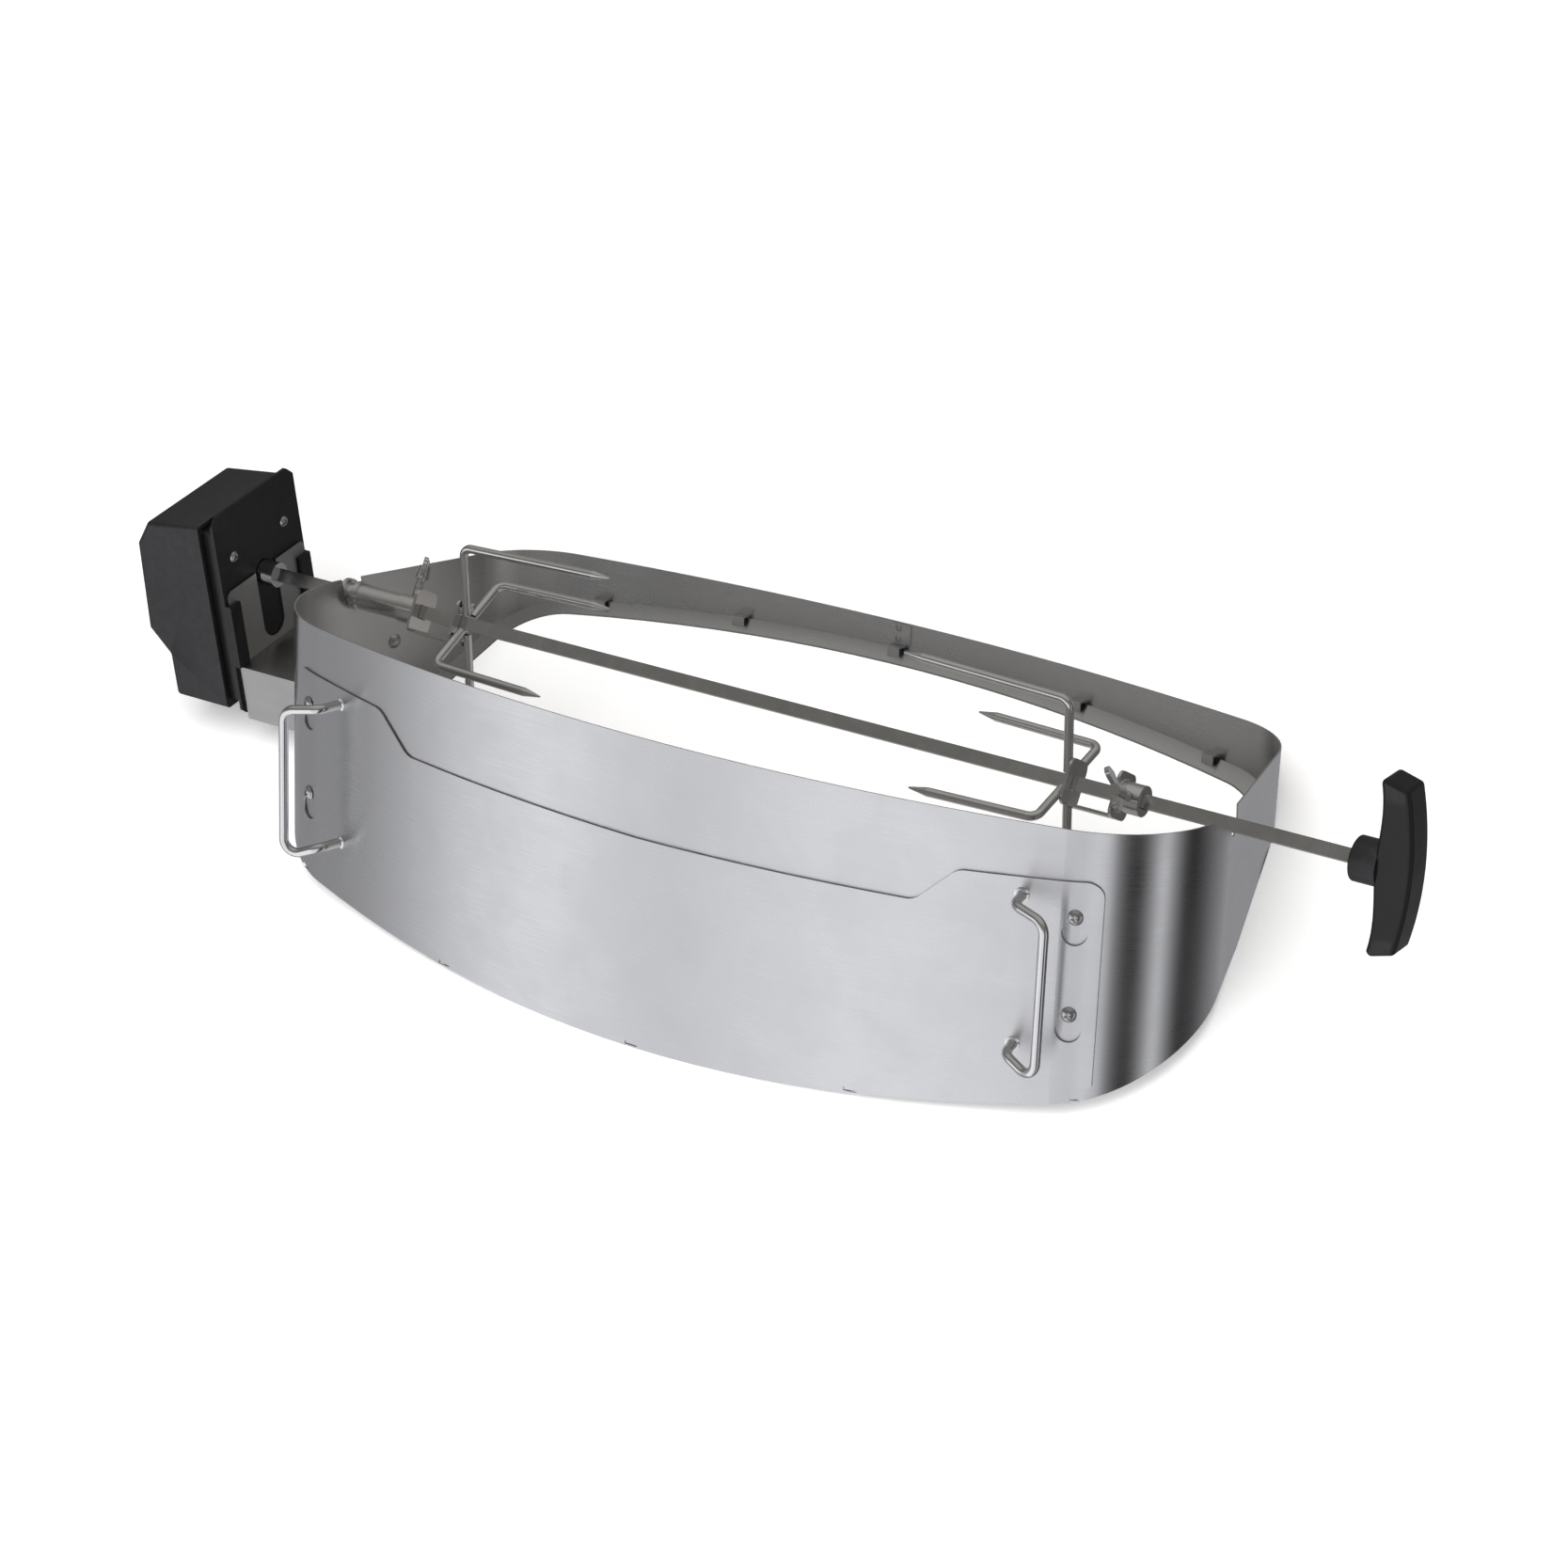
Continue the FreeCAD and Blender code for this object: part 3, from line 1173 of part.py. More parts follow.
def make_drive_motor():
    v, w = pinion_place()
    front = gear_plate_x() - GEAR_PLATE_T
    can = bar(DRIVE_MOTOR_D, front - DRIVE_MOTOR_L, front, v, w)
    rear_edges = [edge for edge in can.Edges if abs(edge.CenterOfMass.x - front + DRIVE_MOTOR_L) < SLIP]
    can = can.makeFillet(DRIVE_MOTOR_EDGE_R, rear_edges)
    return hung(fuse([can, bar(MOTOR_BOSS_D - 2 * SLIP, front, front + GEAR_PLATE_T, v, w)]))


def make_motor_shaft():
    v, w = pinion_place()
    front = gear_plate_x() - GEAR_PLATE_T
    return hung(bar(SHAFT_D, front + GEAR_PLATE_T, second_layer()[1], v, w))


def make_socket_bearing():
    ring = bar(SOCKET_D + 2 * BUSHING_T, socket_shoulder_x() + FIT_GAP, BACK_PLATE_X)
    return hung(ring.cut(bar(SOCKET_D, -REACH, REACH)))


# ---------------------------------------------------------------- batteries, hatch and switch
def make_cell(w, hand):
    """Round cell lying across the case, with its cap towards the given hand."""
    can = Part.makeCylinder(CELL_D / 2, CELL_L, V(CELL_X, -CELL_L / 2, w), Y_AXIS)
    cap_at = V(CELL_X, hand * CELL_L / 2, w)
    cap = Part.makeCylinder(CELL_CAP_D / 2, CELL_CAP_L, cap_at, V(0, hand, 0))
    can = can.makeFillet(CELL_EDGE_R, can.Edges[:1] + can.Edges[2:])
    return hung(fuse([can, cap]))


def make_contacts():
    """Flat contact at each cap and a coil spring at each base, on plates against the case walls."""
    wall_v = HOUSING_HALF_W - HOUSING_T
    pieces = []
    for w, hand in ((CELL_LOW_W, 1), (CELL_HIGH_W, -1)):
        cap_end = CELL_L / 2 + CELL_CAP_L
        span = sorted((hand * cap_end, hand * wall_v))
        half = CAP_CONTACT_W / 2
        pieces.append(box((CELL_X - half, CELL_X + half), span, (w - half, w + half)))
        gap = wall_v - CONTACT_T - CELL_L / 2
        pitch = (gap - SPRING_WIRE_D) / SPRING_TURNS
        helix = Part.makeHelix(pitch, pitch * SPRING_TURNS, SPRING_D / 2)
        start = V(SPRING_D / 2, 0, 0)
        ring = Part.Wire(Part.makeCircle(SPRING_WIRE_D / 2, start, Y_AXIS))
        coil = Part.Wire(helix.Edges).makePipeShell([ring], True, True)
        coil.translate(V(0, 0, SPRING_WIRE_D / 2))
        turned = FreeCAD.Rotation(Z_AXIS, V(0, -hand, 0))
        base = V(CELL_X, -hand * CELL_L / 2, w)
        coil.Placement = FreeCAD.Placement(base, turned).multiply(coil.Placement)
        plate_span = sorted((-hand * wall_v, -hand * (wall_v - CONTACT_T)))
        half = SPRING_PLATE_W / 2
        pieces.append(box((CELL_X - half, CELL_X + half), plate_span, (w - half, w + half)))
        pieces.append(coil)
    return hung(Part.makeCompound(pieces))


def face_lean():
    """Lean of the flat outer face of the housing, from its lower to its upper edge."""
    return math.degrees(math.atan2(FACE_LEAN, HOUSING_FACE_TOP - HOUSING_FACE_BOTTOM))


def on_face(shape, w):
    """Moves a piece built about the origin, facing -X, on to the housing's outer face."""
    share = (w - HOUSING_FACE_BOTTOM) / (HOUSING_FACE_TOP - HOUSING_FACE_BOTTOM)
    shape.rotate(V(), Y_AXIS, face_lean())
    shape.translate(V(HOUSING_FACE_X + FACE_LEAN * share, 0, w))
    return shape


def hatch_block(grow, low, high):
    half_w, half_h = HATCH_W / 2 + grow, HATCH_H / 2 + grow
    return crosswise(rectangle(half_w, -half_h, half_h, HATCH_CORNER_R), low, high)


def hatch_opening():
    return on_face(hatch_block(FIT_GAP, -HATCH_GROOVE_T, 3 * HOUSING_T), HATCH_W_CENTRE)


def make_hatch():
    """Battery hatch, flush in the outer face, with shallow grooves for the thumb."""
    lid = hatch_block(0.0, 0.0, HOUSING_T)
    for step in range(HATCH_GROOVES):
        low = HATCH_GROOVE_LOW + HATCH_GROOVE_PITCH * step
        half = HATCH_GROOVE_W / 2
        lid = lid.cut(box((0, HATCH_GROOVE_T), (-half, half), (low, low + HATCH_GROOVE_PITCH / 2)))
    return hung(on_face(lid, HATCH_W_CENTRE))


def rocker_opening():
    half_w, half_h = ROCKER_W / 2 + ROCKER_END_GAP, ROCKER_H / 2 + 2 * FIT_GAP
    hole = crosswise(rectangle(half_w, -half_h, half_h, ROCKER_EDGE_R), -HOUSING_T, 3 * HOUSING_T)
    return on_face(hole, ROCKER_W_CENTRE)


def make_rocker():
    """Rocker with a shallow valley, swinging on a pin along Z in its own frame."""
    half = ROCKER_W / 2
    outline = [(-ROCKER_PROUD, -half, ROCKER_EDGE_R), (-ROCKER_VALLEY, 0, 0)]
    outline += [(-ROCKER_PROUD, half, ROCKER_EDGE_R), (ROCKER_DEPTH / 2, half, ROCKER_EDGE_R)]
    outline += [(ROCKER_DEPTH, 0, ROCKER_FOOT_R), (ROCKER_DEPTH / 2, -half, ROCKER_EDGE_R)]
    rocker = upright(outline, -ROCKER_H / 2, ROCKER_H / 2)
    rocker.rotate(V(ROCKER_DEPTH / 2, 0, 0), Z_AXIS, ROCKER_SWING)
    return hung(on_face(rocker.cut(rocker_pin(0.0, ROCKER_H)), ROCKER_W_CENTRE))


def rocker_pin(gap, height):
    """Pin that the rocker swings on, smaller all round by a gap."""
    low = V(ROCKER_DEPTH / 2, 0, -height / 2)
    return Part.makeCylinder(ROCKER_PIN_D / 2 - gap, height, low, Z_AXIS)


def make_rocker_frame():
    """Clip-in frame: bezel outside, box inside the wall, cheeks through the wall, and the pin."""
    inner_w, inner_h = ROCKER_W / 2 + ROCKER_END_GAP, ROCKER_H / 2 + FIT_GAP
    neck_h = inner_h + FIT_GAP - SLIP
    bezel = rectangle(inner_w + BEZEL_W, -inner_h - BEZEL_W, inner_h + BEZEL_W, BEZEL_T)
    bezel = crosswise(bezel, -BEZEL_T, 0.0)
    back = ROCKER_DEPTH + FRAME_BACK_GAP
    body = rectangle(inner_w + FRAME_WALL, -neck_h - FRAME_WALL, neck_h + FRAME_WALL)
    body = crosswise(body, HOUSING_T + SLIP, back + FRAME_WALL)
    cheeks = []
    for side in (LEFT, RIGHT):
        span = sorted((side * inner_h, side * neck_h))
        cheeks.append(box((0.0, HOUSING_T + SLIP), (-ROCKER_W / 2, ROCKER_W / 2), span))
    hollow = crosswise(rectangle(inner_w, -inner_h, inner_h), -BEZEL_T, back)
    whole = fuse([bezel, body] + cheeks).cut(hollow)
    return hung(on_face(fuse([whole, rocker_pin(RUNNING_GAP, 2 * neck_h)]), ROCKER_W_CENTRE))


# ---------------------------------------------------------------- assembly
def finish(shape):
    """From the wall frame to the resting frame: origin under the middle of the back flange."""
    origin_y = BACK_Y - FLANGE_W / 2
    shape = shape.copy()
    shape.translate(V(0, -origin_y, -seat_line_z(origin_y)))
    shape.rotate(V(), X_AXIS, -SEAT_SLOPE)
    return shape


parts["shroud_wall"] = make_ring()
parts["base_flange"] = make_flange()
parts["locating_clips"] = make_clips()
parts["seam_rivets"] = make_seam_rivets()
parts["side_rivet"] = make_side_rivet()
parts["door_studs"] = make_studs()
parts["door_stud_nuts"] = make_stud_nuts()
parts["motor_bracket"] = make_bracket()
parts["bracket_bolts"] = make_bracket_bolts()
parts["bracket_nuts"] = make_bracket_nuts()
parts["door_panel"] = make_door()
parts["door_handle_left"] = make_door_handle(LEFT)
parts["door_handle_right"] = make_door_handle(RIGHT)
parts["motor_back_plate"] = make_back_plate()
parts["back_plate_screws"] = make_plate_screws()
parts["motor_housing"] = make_housing()
parts["motor_cover"] = make_cover()
parts["socket_bearing"] = make_socket_bearing()
parts["gear_plate"] = make_gear_plate()
parts["idler_arbor"] = make_arbor()
parts["drive_motor"] = make_drive_motor()
parts["battery_cell_lower"] = make_cell(CELL_LOW_W, 1)
parts["battery_cell_upper"] = make_cell(CELL_HIGH_W, -1)
parts["battery_contacts"] = make_contacts()
parts["battery_hatch"] = make_hatch()
parts["switch_frame"] = make_rocker_frame()
parts["switch_rocker"] = make_rocker()
parts["motor_shaft"] = make_motor_shaft()
parts["drive_pinion"] = make_pinion()
parts["idler_gear"] = make_idler()
parts["output_gear"] = make_output_gear()
parts["output_socket"] = make_socket()
parts["spit_rod"] = make_rod()
parts["spit_bushing"] = make_bushing()
parts["handle_ferrule"] = make_ferrule()
parts["handle_grip"] = make_grip()
parts["handle_bolt"] = make_grip_bolt()
for side, name in ((LEFT, "left"), (RIGHT, "right")):
    parts[name + "_fork_hub"] = make_hub(side)
    parts[name + "_fork_collar"] = make_collar(side)
    parts[name + "_fork_prongs"] = make_prongs(side)
    parts[name + "_wing_screw"] = make_wing_screw(side)

os.makedirs("parts", exist_ok=True)
for name, shape in parts.items():
    placed = finish(shape)
    bounds = placed.BoundBox
    print("%-20s solids %2d valid %s volume %9.1f  x %.1f..%.1f y %.1f..%.1f z %.1f..%.1f" % (
        name, len(placed.Solids), placed.isValid(), placed.Volume,
        bounds.XMin, bounds.XMax, bounds.YMin, bounds.YMax, bounds.ZMin, bounds.ZMax))
    placed.exportStep("parts/%s.step" % name)
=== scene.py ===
"""Looks of a rotisserie ring: brushed steel ring, black motor and grip, bright spit and forks.

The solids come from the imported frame; this file gives them their finishes, adds the small details
that the solids don't carry, and sets up the studio.
"""
import json
import math

import bmesh
import bpy
from mathutils import Matrix, Vector


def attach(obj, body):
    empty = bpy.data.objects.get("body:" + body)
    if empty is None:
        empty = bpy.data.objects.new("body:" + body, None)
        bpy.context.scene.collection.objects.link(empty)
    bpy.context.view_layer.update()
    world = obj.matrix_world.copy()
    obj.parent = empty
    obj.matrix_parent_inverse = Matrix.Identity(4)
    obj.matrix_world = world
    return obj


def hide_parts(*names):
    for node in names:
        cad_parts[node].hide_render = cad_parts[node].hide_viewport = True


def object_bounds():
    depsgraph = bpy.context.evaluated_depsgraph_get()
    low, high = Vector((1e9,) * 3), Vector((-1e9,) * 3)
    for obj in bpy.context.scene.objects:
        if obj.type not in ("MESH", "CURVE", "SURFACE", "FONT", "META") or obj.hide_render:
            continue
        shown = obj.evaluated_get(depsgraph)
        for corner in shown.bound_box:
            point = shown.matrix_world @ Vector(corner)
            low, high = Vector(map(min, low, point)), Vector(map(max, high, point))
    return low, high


bl_info = {
    "name": "Rotisserie Ring",
    "version": (1, 0, 0),
    "blender": (4, 5, 0),
    "location": "View3D > Sidebar > Roaster",
    "description": "Finishes, details and studio for a rotisserie ring with a forked spit",
    "category": "Object",
}

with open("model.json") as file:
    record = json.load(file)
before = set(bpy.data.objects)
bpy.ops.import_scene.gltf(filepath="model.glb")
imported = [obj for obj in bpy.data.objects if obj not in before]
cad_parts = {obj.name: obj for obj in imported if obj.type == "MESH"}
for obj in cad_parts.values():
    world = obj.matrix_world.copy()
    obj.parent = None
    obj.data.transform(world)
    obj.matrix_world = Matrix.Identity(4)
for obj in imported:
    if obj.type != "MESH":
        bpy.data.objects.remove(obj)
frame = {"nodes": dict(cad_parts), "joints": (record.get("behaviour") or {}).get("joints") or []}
CAD_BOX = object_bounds()
MM = 0.001

SEAT_SLOPE = math.radians(27.8)     # the upright walls lean back by this much when the ring stands
WALL_UP = Vector((0.0, math.sin(SEAT_SLOPE), math.cos(SEAT_SLOPE)))
WALL_ORIGIN_Y = 138.7       # the resting frame's origin in the frame of the upright walls, in mm
WALL_ORIGIN_Z = 39.628
SPIT_Y = -21.5              # the spit in the frame of the upright walls, in mm
SPIT_Z = 57.5
MOTOR_TILT = math.radians(12.5)

# door studs and the screws of the back plate, in mm
CORNER_X = 236.035
CORNER_Y = -48.356
CORNER_R = 75.0
STUD_X = 263.0
STUD_Z = (24.0, -33.5)
STUD_APEX = 4.2             # from the wall to the top of a head
PLATE_SCREW_V = 25.0
PLATE_SCREW_W = (23.0, -62.0)
PLATE_SCREW_APEX_X = -376.0
RECESS_DEPTH = 1.3 * MM
STUD_CROSS = (4.4 * MM, 1.0 * MM)           # length and width of a cross, in metres
PLATE_SCREW_CROSS = (3.6 * MM, 0.8 * MM)
SMALL_RECESS = 0.85         # depth of the smaller crosses against the others
RECESS_TAPER = 0.75
LEAST_CUT = 0.3             # of one arm of the cross: less metal taken out means a failed cut
MERGE = 1e-6                # vertices nearer than this are one

# wing screws and forks, in metres unless said otherwise
SCREW_R = 2.5 * MM
THREAD_PITCH = 0.8 * MM
THREAD_RIDGE = 0.36 * MM
THREAD_SIDES = 4
THREAD_SPAN = (9.4 * MM, 19.4 * MM)     # from the axis of the spit
THREAD_STEPS = 24           # per turn
# each fork: hand, side of its collar, place of its tine plate in mm, directions of its prongs in degrees
FORKS = (("left", -1, -222.0, (95.0, 275.0, 27.0, 207.0)),
         ("right", 1, 204.0, (95.0, 275.0, 17.0, 197.0)))
WELD_SPAN = (7.6 * MM, 11.6 * MM)
WELD_ASIDE = 2.35 * MM
BEAD_OFF_FACE = 0.45 * MM
COLLAR_FROM_TINE = 32.8     # mm
COLLAR_WELD_R = 9.15 * MM
COLLAR_STEPS = 48
BEAD_SIZE = 0.95 * MM
BEAD_SEED = 7
BEAD_STEP = 0.3 * MM
BEAD_SIDES = 8
BEAD_RIPPLE = 0.09          # of the bead's size
BEAD_RIPPLE_RATE = 2 * math.pi / (1.6 * MM)
BEAD_END_RISE = 4.0         # how fast an open bead grows from its end, per length of the run
BEAD_END_SIZE = 0.35        # of the full size, at an open end

# how dull or shiny the finishes are that have no setting of their own
BRACKET_ROUGHNESS = 0.42
FASTENER_ROUGHNESS = 0.3
ENAMEL_ROUGHNESS = 0.34
SWITCH_ROUGHNESS = 0.2
NYLON_ROUGHNESS = 0.45
BRONZE_ROUGHNESS = 0.45
ZINC_ROUGHNESS = 0.35
SLEEVE_ROUGHNESS = 0.3
CASE_SHINE = 0.32
ENAMEL_SHINE = 0.3
BRUSH_STRETCH = 0.9         # of reflections, across the brush lines
NOISE_RANGE = (0.3, 0.7)    # where nearly all of a noise lies
SMUDGE_RANGE = (0.35, 0.7)

# sockets of a Mix node that mixes colours
FIRST_COLOUR, SECOND_COLOUR, MIXED_COLOUR = 6, 7, 2


# ---------------------------------------------------------------- settings
def tint(label, red, green, blue, about):
    return bpy.props.FloatVectorProperty(name=label, description=about, subtype="COLOR",
                                         size=3, min=0.0, max=1.0, default=(red, green, blue))


def share(label, default, about):
    return bpy.props.FloatProperty(name=label, description=about, subtype="FACTOR",
                                   min=0.0, max=1.0, default=default)


def length(label, default, about):
    return bpy.props.FloatProperty(name=label, description=about, subtype="DISTANCE",
                                   unit="LENGTH", default=default)


class RoasterSteel(bpy.types.PropertyGroup):
    """Bare metal finishes."""
    ring_colour: tint("Ring", 0.66, 0.665, 0.67, "Colour of the brushed sheet of the ring and door")
    ring_roughness: share("Ring roughness", 0.29, "How dull the brushed sheet is")
    bracket_colour: tint("Bracket", 0.5, 0.495, 0.485, "Colour of the plain bent bracket")
    wire_colour: tint("Wire", 0.74, 0.74, 0.74, "Colour of the plated spit, forks and door handles")
    wire_roughness: share("Wire roughness", 0.16, "How dull the plating is")
    fastener_colour: tint("Fasteners", 0.55, 0.55, 0.55, "Colour of studs, rivets, bolts and nuts")
    zinc_colour: tint("Zinc", 0.6, 0.6, 0.57, "Colour of the plated pieces inside the motor")
    bronze_colour: tint("Bronze", 0.52, 0.33, 0.14, "Colour of the bearing of the socket")


class RoasterBlack(bpy.types.PropertyGroup):
    """Black and moulded finishes."""
    case_colour: tint("Case", 0.007, 0.007, 0.0075, "Colour of the motor case and the grip")
    case_roughness: share("Case roughness", 0.36, "How dull the moulded case is")
    plate_colour: tint("Back plate", 0.004, 0.004, 0.0045, "Colour of the enamelled back plate")
    switch_colour: tint("Switch", 0.01, 0.01, 0.01, "Colour of the rocker")
    gear_colour: tint("Gears", 0.8, 0.78, 0.7, "Colour of the moulded gears")
    sleeve_colour: tint("Cells", 0.05, 0.11, 0.09, "Colour of the sleeves on the cells")


class RoasterDetail(bpy.types.PropertyGroup):
    """Small details that the solids don't carry."""
    recess_depth: length("Recess depth", RECESS_DEPTH, "Depth of the crosses in the screw heads")
    thread_pitch: length("Thread pitch", THREAD_PITCH, "Pitch of the wing screws")
    thread_ridge: length("Thread ridge", THREAD_RIDGE, "Half width of the ridge of the thread")
    bead_size: length("Weld bead", BEAD_SIZE, "Half width of a weld bead on the forks")
    seed: bpy.props.IntProperty(name="Seed", description="Chooses the ripples of the weld beads",
                                default=BEAD_SEED)


class RoasterStudio(bpy.types.PropertyGroup):
    """Camera and light."""
    azimuth: bpy.props.FloatProperty(name="Azimuth", description="Camera turn from the front",
                                     subtype="ANGLE", default=math.radians(32.0))
    elevation: bpy.props.FloatProperty(name="Elevation", description="Camera height above the walls' level",
                                       subtype="ANGLE", default=math.radians(21.4))
    roll: bpy.props.FloatProperty(name="Roll", description="Camera turn about its own view",
                                  subtype="ANGLE", default=math.radians(2.4))
    distance: length("Distance", 2.551, "Camera to the middle of the ring")
    lens: bpy.props.FloatProperty(name="Lens", description="Focal length", unit="CAMERA", default=98.6)
    floor_colour: tint("Floor", 0.9, 0.9, 0.9, "Colour of the studio floor")
    key_power: bpy.props.FloatProperty(name="Key light", description="Power of the overhead light",
                                       subtype="POWER", unit="POWER", default=60.0)


# ---------------------------------------------------------------- shader node helpers
def new_group(name, inputs, outputs):
    """Empty shader group with named sockets; returns its tree and its input and output nodes."""
    tree = bpy.data.node_groups.new(name, "ShaderNodeTree")
    for label, kind, value in inputs:
        socket = tree.interface.new_socket(label, in_out="INPUT", socket_type=kind)
        if value is not None:
            socket.default_value = value
    for label, kind in outputs:
        tree.interface.new_socket(label, in_out="OUTPUT", socket_type=kind)
    return tree, tree.nodes.new("NodeGroupInput"), tree.nodes.new("NodeGroupOutput")


def node(tree, kind, **values):
    made = tree.nodes.new(kind)
    for key, value in values.items():
        if key in made.inputs:
            made.inputs[key].default_value = value
        else:
            setattr(made, key, value)
    return made


def maths(tree, operation, first, second, clamp=False):
    """Math node; each operand is a socket or a number."""
    made = tree.nodes.new("ShaderNodeMath")
    made.operation = operation
    made.use_clamp = clamp
    for index, operand in enumerate((first, second)):
        if isinstance(operand, (int, float)):
            made.inputs[index].default_value = operand
        else:
            tree.links.new(operand, made.inputs[index])
    return made.outputs[0]


def grain_group():
    """Fine parallel brush lines, and a slow drift noise as a second output."""
    tree, given, out = new_group(
        "Brush Grain",
        [("Vector", "NodeSocketVector", None), ("Fineness", "NodeSocketFloat", 900.0),
         ("Stretch", "NodeSocketFloat", 60.0)],
        [("Lines", "NodeSocketFloat"), ("Drift", "NodeSocketFloat")])
    links = tree.links
    split = node(tree, "ShaderNodeSeparateXYZ")
    links.new(given.outputs["Vector"], split.inputs[0])
    join = node(tree, "ShaderNodeCombineXYZ")
    across = maths(tree, "DIVIDE", given.outputs["Fineness"], given.outputs["Stretch"])
    for axis in "XY":
        links.new(maths(tree, "MULTIPLY", split.outputs[axis], across), join.inputs[axis])
    links.new(maths(tree, "MULTIPLY", split.outputs["Z"], given.outputs["Fineness"]), join.inputs["Z"])
    lines = node(tree, "ShaderNodeTexNoise", Scale=1.0, Detail=3.0, Roughness=0.6)
    links.new(join.outputs[0], lines.inputs["Vector"])
    links.new(lines.outputs[0], out.inputs["Lines"])
    drift = node(tree, "ShaderNodeTexNoise", Scale=7.0, Detail=2.0, Roughness=0.5)
    links.new(given.outputs["Vector"], drift.inputs["Vector"])
    links.new(drift.outputs[0], out.inputs["Drift"])
    return tree


def wear_group():
    """Light rubbing on outer edges and faint smudges all over."""
    tree, given, out = new_group(
        "Edge Wear",
        [("Vector", "NodeSocketVector", None), ("Smudge Scale", "NodeSocketFloat", 25.0),
         ("Edge", "NodeSocketFloat", 0.52)],
        [("Edge", "NodeSocketFloat"), ("Smudge", "NodeSocketFloat")])
    links = tree.links
    shape = node(tree, "ShaderNodeNewGeometry")
    broken = node(tree, "ShaderNodeTexNoise", Scale=180.0, Detail=4.0, Roughness=0.7)
    links.new(given.outputs["Vector"], broken.inputs["Vector"])
    sharp = maths(tree, "SUBTRACT", shape.outputs["Pointiness"], given.outputs["Edge"])
    sharp = maths(tree, "MULTIPLY", sharp, 14.0, clamp=True)
    links.new(maths(tree, "MULTIPLY", sharp, broken.outputs[0]), out.inputs["Edge"])
    smudge = node(tree, "ShaderNodeTexNoise", Detail=5.0, Roughness=0.6, Distortion=0.4)
    links.new(given.outputs["Vector"], smudge.inputs["Vector"])
    links.new(given.outputs["Smudge Scale"], smudge.inputs["Scale"])
    links.new(smudge.outputs[0], out.inputs["Smudge"])
    return tree


def mix_colour(tree, factor, first, second):
    """Goes from the first colour to the second as the factor rises."""
    mix = node(tree, "ShaderNodeMix", data_type="RGBA")
    tree.links.new(factor, mix.inputs["Factor"])
    for index, colour in ((FIRST_COLOUR, first), (SECOND_COLOUR, second)):
        mix.inputs[index].default_value = (*colour, 1.0)
    return mix.outputs[MIXED_COLOUR]


def spread(tree, value, low, high, to_low, to_high):
    """Turns values between low and high into values between to_low and to_high."""
    made = node(tree, "ShaderNodeMapRange")
    tree.links.new(value, made.inputs["Value"])
    for key, number in (("From Min", low), ("From Max", high), ("To Min", to_low), ("To Max", to_high)):
        made.inputs[key].default_value = number
    return made.outputs[0]


def start_material(name, metallic, turned=0.0):
    """Material with its Principled shader and its object coordinates, turned about X."""
    material = bpy.data.materials.new(name)
    material.use_nodes = True
    tree = material.node_tree
    skin = tree.nodes["Principled BSDF"]
    skin.inputs["Metallic"].default_value = metallic
    place = node(tree, "ShaderNodeTexCoord")
    turn = node(tree, "ShaderNodeMapping")
    turn.inputs["Rotation"].default_value = (turned, 0.0, 0.0)
    tree.links.new(place.outputs["Object"], turn.inputs["Vector"])
    return material, tree, skin, turn.outputs[0]


def use_group(tree, group, vector, **values):
    made = tree.nodes.new("ShaderNodeGroup")
    made.node_tree = group
    tree.links.new(vector, made.inputs["Vector"])
    for key, value in values.items():
        made.inputs[key.replace("_", " ")].default_value = value
    return made


def stretch_gloss(tree, skin, amount):
    """Stretches reflections up and down the walls, across the brush lines."""
    shape = node(tree, "ShaderNodeNewGeometry")
    level = node(tree, "ShaderNodeVectorMath", operation="CROSS_PRODUCT")
    level.inputs[0].default_value = WALL_UP
    tree.links.new(shape.outputs["Normal"], level.inputs[1])
    upward = node(tree, "ShaderNodeVectorMath", operation="CROSS_PRODUCT")
    tree.links.new(shape.outputs["Normal"], upward.inputs[0])
    tree.links.new(level.outputs[0], upward.inputs[1])
    tree.links.new(upward.outputs[0], skin.inputs["Tangent"])
    skin.inputs["Anisotropic"].default_value = amount


def raise_bump(tree, skin, height, strength, distance):
    bump = node(tree, "ShaderNodeBump", Strength=strength, Distance=distance)
    tree.links.new(height, bump.inputs["Height"])
    tree.links.new(bump.outputs[0], skin.inputs["Normal"])


GROUPS = {}


def shared(name, build):
    """The shader group of that name, built the first time that it is asked for."""
    if name not in GROUPS:
        GROUPS[name] = build()
    return GROUPS[name]


def lighter(colour, amount):
    return tuple(min(1.0, part * amount) for part in colour)


def brushed_metal(name, colour, roughness, fineness=2000.0, depth=0.045, turned=SEAT_SLOPE):
    """Sheet metal brushed along the ring, with smudges that only change its gloss."""
    material, tree, skin, vector = start_material(name, 1.0, turned)
    grain = use_group(tree, shared("grain", grain_group), vector, Fineness=fineness)
    wear = use_group(tree, shared("wear", wear_group), vector)
    shade = mix_colour(tree, grain.outputs["Lines"], lighter(colour, 0.94), lighter(colour, 1.05))
    tree.links.new(shade, skin.inputs["Base Color"])
    gloss = spread(tree, grain.outputs["Lines"], *NOISE_RANGE, roughness - 0.03, roughness + 0.03)
    smudged = spread(tree, wear.outputs["Smudge"], *SMUDGE_RANGE, -0.015, 0.03)
    tree.links.new(maths(tree, "ADD", gloss, smudged), skin.inputs["Roughness"])
    raise_bump(tree, skin, grain.outputs["Lines"], depth, 0.0002)
    stretch_gloss(tree, skin, BRUSH_STRETCH)
    return material


